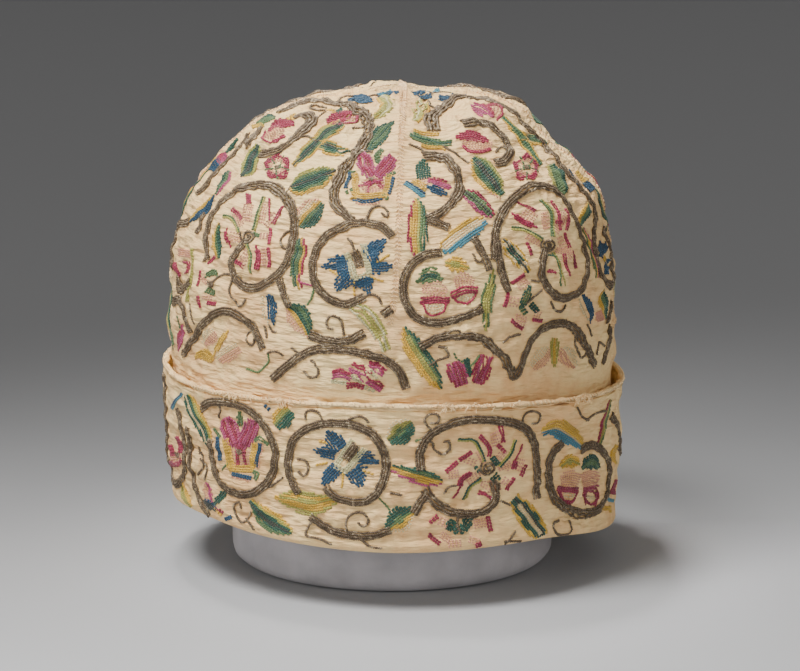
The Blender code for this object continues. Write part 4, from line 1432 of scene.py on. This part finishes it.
# A patch may be this share of a row wider than its rows
ROW_TO_SPARE = 0.3
SILK_LIFT = 0.22 * MM
SILK_LEAN = 0.3
SHADE_SPREAD = 0.1
# Rows that would be carried to a place higher than this are left out, as they would crowd at the top
CARRIED_BELOW = 188.0 * MM
SILK_STITCH = {"pitch": 1.18 * MM, "length": 1.68 * MM, "width": 1.16 * MM, "height": 0.64 * MM}
# A rose has a magenta bar along the edge of each petal, a pale one inside it, and sepals between. Each point
# of these is a share of the radius, degrees beside the petal's middle, and half the width in pixels.
ROSE_PETALS = 5
ROSE_MIDDLE = 2.5
ROSE_PARTS = (
    ("magenta magenta", (0.84, -26.0, 1.6), (1.0, 0.0, 2.4), (0.84, 26.0, 1.6)),
    ("blush", (0.62, -24.0, 1.6), (0.7, 0.0, 2.0), (0.62, 24.0, 1.6)),
    ("green", (0.5, 36.0, 0.9), (1.0, 36.0, 0.7)),
)


def rose_patches(x, y, radius):
    """A small rose as patches, its first petal upwards."""
    patches = [("green green", (x - ROSE_MIDDLE, y, ROSE_MIDDLE), (x + ROSE_MIDDLE, y, ROSE_MIDDLE))]
    for petal in range(ROSE_PETALS):
        for bands, *part in ROSE_PARTS:
            spine = []
            for share, aside, half in part:
                angle = math.radians(360.0 / ROSE_PETALS * petal - 90.0 + aside)
                reach = radius * share
                spine.append((x + reach * math.cos(angle), y + reach * math.sin(angle), half))
            patches.append((bands, *spine))
    return patches


def runs_of(chosen):
    """The stretches of a row of flags that are true, as pairs of ends."""
    edges = np.flatnonzero(np.diff(np.concatenate([[0], chosen.astype(int), [0]])))
    return list(zip(edges[::2], edges[1::2]))


def patch_rows(tree, bands, spine):
    """A patch's rows of stitches on the smooth cloth: lists of points and the colour of each."""
    colours = bands.split()
    curve = through(spine, SPINE_STEP)
    ahead = np.gradient(curve[:, :2], axis=0)
    ahead /= np.linalg.norm(ahead, axis=1, keepdims=True)
    aside = np.stack([ahead[:, 1], -ahead[:, 0]], axis=1) * np.maximum(curve[:, 2:], NARROWEST)
    edges = [[cast(tree, *place) for place in curve[:, :2] + aside * side] for side in (1.0, -1.0)]
    known = [i for i in range(len(curve)) if edges[0][i] is not None and edges[1][i] is not None]
    if len(known) < 2:
        return []
    left, right = (np.array([edge[i] for i in known]) for edge in edges)
    half = np.linalg.norm(left - right, axis=1) / 2.0
    widest = half.max()
    count = max(1, math.ceil(2.0 * widest / SILK_ROW - ROW_TO_SPARE))
    rows = []
    for row in range(count):
        offset = ((row + 0.5) / count * 2.0 - 1.0) * widest
        share = offset / half
        band = np.clip(((share + 1.0) / 2.0 * len(colours)).astype(int), 0, len(colours) - 1)
        names = np.array([colours[b] for b in band])
        points = left * (1.0 - share[:, None]) / 2.0 + right * (1.0 + share[:, None]) / 2.0
        for start, end in runs_of((np.abs(share) <= 1.0) & (names != "none")):
            if end - start > 1:
                rows.append((points[start:end], names[start:end]))
    return rows


def silk_rows(tree, cloth, patches, carried=None):
    """Rows of silk stitches on the cloth, where the patches are charted or where they are carried to."""
    rows = []
    for bands, *spine in patches:
        for number, (points, names) in enumerate(patch_rows(tree, bands, spine)):
            points = carried(points) if carried else points
            if carried and points[:, 2].max() > CARRIED_BELOW:
                continue
            places, ups = laid(cloth, points, SILK_LIFT)
            shade = 1.0 + SHADE_SPREAD * rng.standard_normal()
            tint = np.array([SILKS[name] for name in names]) * [shade, shade, shade, 1.0]
            size = np.array([THIN_SIZE if name in THIN_SILKS else 1.0 for name in names])
            rows.append(Row(places, ups, np.clip(tint, 0.0, 1.0), SILK_LEAN * (-1.0) ** number, size))
    return rows


def thread_surface(name, roughness):
    """Dyed thread, whose colour is each stitch's own."""
    thread = Surface(name, Roughness=roughness, Sheen_Weight=0.2, Specular_IOR_Level=0.4)
    strand = thread.noise(thread.place(), scale=2200.0)
    inputs = {"Color": thread.attribute("tint"), "Value": 0.78 + strand * 0.4}
    shade = thread.node("ShaderNodeHueSaturation", inputs=inputs)
    return thread.finish(Base_Color=shade, height=strand, distance=0.1 * MM)


silk_thread = thread_surface("silk_thread", 0.5)
crown_patches = list(CROWN_SILK) + [patch for rose in ROSES for patch in rose_patches(*rose)]
for name, tree, cloth, patches, carried in (
    ("crown_silk_front", crown_tree, crown_cloth, crown_patches, None),
    ("crown_silk_back", crown_tree, crown_cloth, crown_patches, turned_crown),
    ("cuff_silk_front", cuff_tree, cuff_cloth, CUFF_SILK, None),
    ("cuff_silk_back", cuff_tree, cuff_cloth, CUFF_SILK, turned_cuff),
):
    stitched(name, silk_rows(tree, cloth, patches, carried), silk_thread, "silk_thread", **SILK_STITCH)

# Leaves beside the seams of the two sides, which the photograph doesn't show: leaves of the front seam again
SIDE_LEAVES = (
    ("teal green lime yellow yellow", (404, 327, 1), (411, 343, 9), (424, 363, 10), (434, 378, 7),
     (441, 389, 1)),
    ("cream lime green lime cream", (352, 306, 1), (366, 315, 7), (379, 331, 7), (387, 348, 2)),
    ("teal green yellow yellow magenta", (417, 196, 3), (418, 215, 9), (416, 236, 9), (417, 256, 4)),
    ("green teal green", (411, 135, 3), (430, 138, 4), (450, 141, 2)),
    ("lime green teal ink teal", (385, 212, 2), (378, 228, 8), (380, 244, 7), (386, 258, 1)),
)
side_rows = []
for quarters in (1, 3):
    side_rows += silk_rows(crown_tree, crown_cloth, SIDE_LEAVES, lambda line: turned_crown(line, quarters))
stitched("crown_silk_sides", side_rows, silk_thread, "silk_thread", **SILK_STITCH)

# Seams and hem stitches
# The gores are joined edge to edge with linen thread: two rows of short stitches lean against each other,
# and a third lies over them. Whip stitches hold the hem, and worn ends of them stand up.

FRONT_SEAM = ((404, 83), (402, 126), (400, 186), (398, 250), (394, 298), (390, 322))
SEAM_FOOT = 92.0 * MM
SEAM_CLEAR = 0.1 * MM
SEAM_LIFT = 0.15 * MM
# How far each row lies to one side in mm, and how it leans
SEAM_ROWS = ((-0.85, 0.8), (0.85, -0.8), (0.0, 0.3))
SEAM_COLOUR = eye(230, 194, 146)
SEAM_STITCH = {
    "pitch": 1.7 * MM, "length": 1.9 * MM, "width": 0.6 * MM, "height": 0.8 * MM, "unevenness": 0.4,
}
WHIP_STITCH = {"pitch": 2.2 * MM, "length": 0.75 * MM, "width": 2.3 * MM, "height": 0.9 * MM}
WORN_STITCH = {"pitch": 0.6 * MM, "length": 0.95 * MM, "width": 0.46 * MM, "height": 0.46 * MM}
HEM_COLOUR = eye(246, 212, 158)
# Where the hem's stitching is worn: the middle and half width of each place, in degrees round the cap
WORN_PLACES = ((-27.0, 4.0), (-40.0, 5.0), (24.0, 7.0), (12.0, 2.0), (52.0, 3.0), (140.0, 6.0), (-120.0, 5.0))
WORN_ENDS = 20
WORN_POINTS = 8
# How far a worn end reaches out, to the side and up, and how high it arches, in mm
WORN_OUT = (0.7, 2.2)
WORN_ASIDE = (-2.4, 2.4)
WORN_UP = (-3.2, 1.2)
WORN_ARCH = 0.6
SEAM_OVER_TOP = 60
WHIP_LEAN = 0.5
# The whip stitches face outwards and up, in these shares
WHIP_FACING = (0.9, 0.45)
WHIP_DEPTH = 0.95


def seam_rows(line):
    points, ups = laid(crown_cloth, evenly(line, STEM_STEP), SEAM_CLEAR)
    return [
        Row(*laid(crown_cloth, beside(points, ups, offset * MM), SEAM_LIFT), SEAM_COLOUR, lean, 1.0)
        for offset, lean in SEAM_ROWS
    ]


def side_seam(azimuth):
    column = int(np.argmin(np.abs(crown_azimuths - azimuth)))
    line = crown_grid[:, column]
    return line[line[:, 2] > SEAM_FOOT]


seam_thread = thread_surface("seam_thread", 0.75)
front_seam = charted(crown_tree, [FRONT_SEAM])[0]
back_seam = turned_crown(front_seam)
over_top = np.linspace(front_seam[0], back_seam[0], SEAM_OVER_TOP)[1:-1]
for name, line in (
    ("seam_front_to_back", np.vstack([front_seam[::-1], over_top, back_seam])),
    ("seam_right", side_seam(azimuth=90.0)),
    ("seam_left", side_seam(azimuth=-90.0)),
):
    seam = stitched("stitches_of_" + name, seam_rows(line), seam_thread, "seam_thread", **SEAM_STITCH)
    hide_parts(name)

whip_ups = flat_lines * WHIP_FACING[0] + np.array([0.0, 0.0, WHIP_FACING[1]])
whip_ups /= np.linalg.norm(whip_ups, axis=1, keepdims=True)
hem_line = ringed(hem_reach[None, :], hem_middle[None, :])[0] + whip_ups * HEM_RADIUS * WHIP_DEPTH
closed = np.arange(CUFF_COLUMNS + 1) % CUFF_COLUMNS
whip = Row(hem_line[closed], whip_ups[closed], HEM_COLOUR, WHIP_LEAN, 1.0)
stitched("hem_stitches", [whip], seam_thread, "seam_thread", **WHIP_STITCH)
worn = []
for middle, half in WORN_PLACES:
    for _ in range(WORN_ENDS):
        column = int(np.argmin(np.abs(cuff_azimuths - rng.uniform(middle - half, middle + half))))
        sideways = np.cross(whip_ups[column], (0.0, 0.0, 1.0))
        tip = rng.uniform(*WORN_OUT) * whip_ups[column] + sideways * rng.uniform(*WORN_ASIDE)
        tip = tip + np.array([0.0, 0.0, rng.uniform(*WORN_UP)])
        share = np.linspace(0.0, 1.0, WORN_POINTS)[:, None]
        arch = whip_ups[column] * np.sin(math.pi * share) * WORN_ARCH
        loop = hem_line[column] + (tip * share + arch) * MM
        worn.append(Row(loop, np.tile(whip_ups[column], (WORN_POINTS, 1)), HEM_COLOUR, 0.0, 1.0))
stitched("worn_hem_ends", worn, seam_thread, "seam_thread", **WORN_STITCH)

# The studio
# A pale sweep, four soft lights, and the camera.

SWEEP_HALF_WIDTH = 9.0
SWEEP_FRONT = -9.0
SWEEP_BACK = 3.4
SWEEP_BEND = 1.2
SWEEP_TOP = 4.0
SWEEP_STEPS = np.linspace(0.1, math.pi / 2.0, 14)
WORLD_COLOUR = (0.9, 0.86, 0.81, 1.0)
WORLD_STRENGTH = 0.3

sweep = bpy.data.meshes.new("studio_sweep")
profile = [(SWEEP_FRONT, 0.0), (SWEEP_BACK, 0.0)]
profile += [
    (SWEEP_BACK + SWEEP_BEND * math.sin(a), SWEEP_BEND - SWEEP_BEND * math.cos(a)) for a in SWEEP_STEPS
]
profile += [(SWEEP_BACK + SWEEP_BEND, SWEEP_TOP)]
points = [(x, y, z) for y, z in profile for x in (-SWEEP_HALF_WIDTH, SWEEP_HALF_WIDTH)]
faces = [(2 * i, 2 * i + 1, 2 * i + 3, 2 * i + 2) for i in range(len(profile) - 1)]
sweep.from_pydata(points, [], faces)
sweep.shade_smooth()
floor = bpy.data.objects.new("studio_sweep", sweep)
bpy.context.scene.collection.objects.link(floor)
paper = Surface("studio_paper", Roughness=0.95)
paper.shader.inputs["Base Color"].default_value = eye(170, 173, 178)
floor.data.materials.append(paper.material)

LIGHT_COLOUR = (1.0, 0.96, 0.91)
Light = collections.namedtuple("Light", "name at aim size spread power")
LIGHTS = (
    Light("soft_above", (-0.36, -0.42, 1.0), (0.0, -0.5, 0.0), 0.45, 86.0, 7.0),
    Light("soft_top", (-0.1, 0.12, 0.8), (0.0, 0.03, 0.2), 0.15, 24.0, 0.17),
    Light("soft_left", (-1.2, -1.0, 0.5), (0.0, 0.0, 0.1), 0.7, 180.0, 6.0),
    Light("soft_right", (1.2, -1.1, 0.5), (0.0, 0.0, 0.1), 0.8, 180.0, 5.0),
)
for light in LIGHTS:
    lamp = bpy.data.lights.new(light.name, "AREA")
    lamp.shape = "DISK"
    lamp.size = light.size
    lamp.spread = math.radians(light.spread)
    lamp.color = LIGHT_COLOUR
    lamp.energy = light.power
    holder = bpy.data.objects.new(light.name, lamp)
    holder.location = light.at
    holder.rotation_euler = (Vector(light.aim) - Vector(light.at)).to_track_quat("-Z", "Y").to_euler()
    bpy.context.scene.collection.objects.link(holder)
world = bpy.data.worlds.new("studio")
world.use_nodes = True
world.node_tree.nodes["Background"].inputs["Color"].default_value = WORLD_COLOUR
world.node_tree.nodes["Background"].inputs["Strength"].default_value = WORLD_STRENGTH
bpy.context.scene.world = world

lens = bpy.data.cameras.new("camera")
lens.lens = CAMERA_LENS
lens.sensor_width = SENSOR
camera = bpy.data.objects.new("camera", lens)
camera.location = CAMERA_AT
camera.rotation_euler = (math.radians(90.0 - CAMERA_DOWN), 0.0, 0.0)
bpy.context.scene.collection.objects.link(camera)
bpy.context.scene.camera = camera
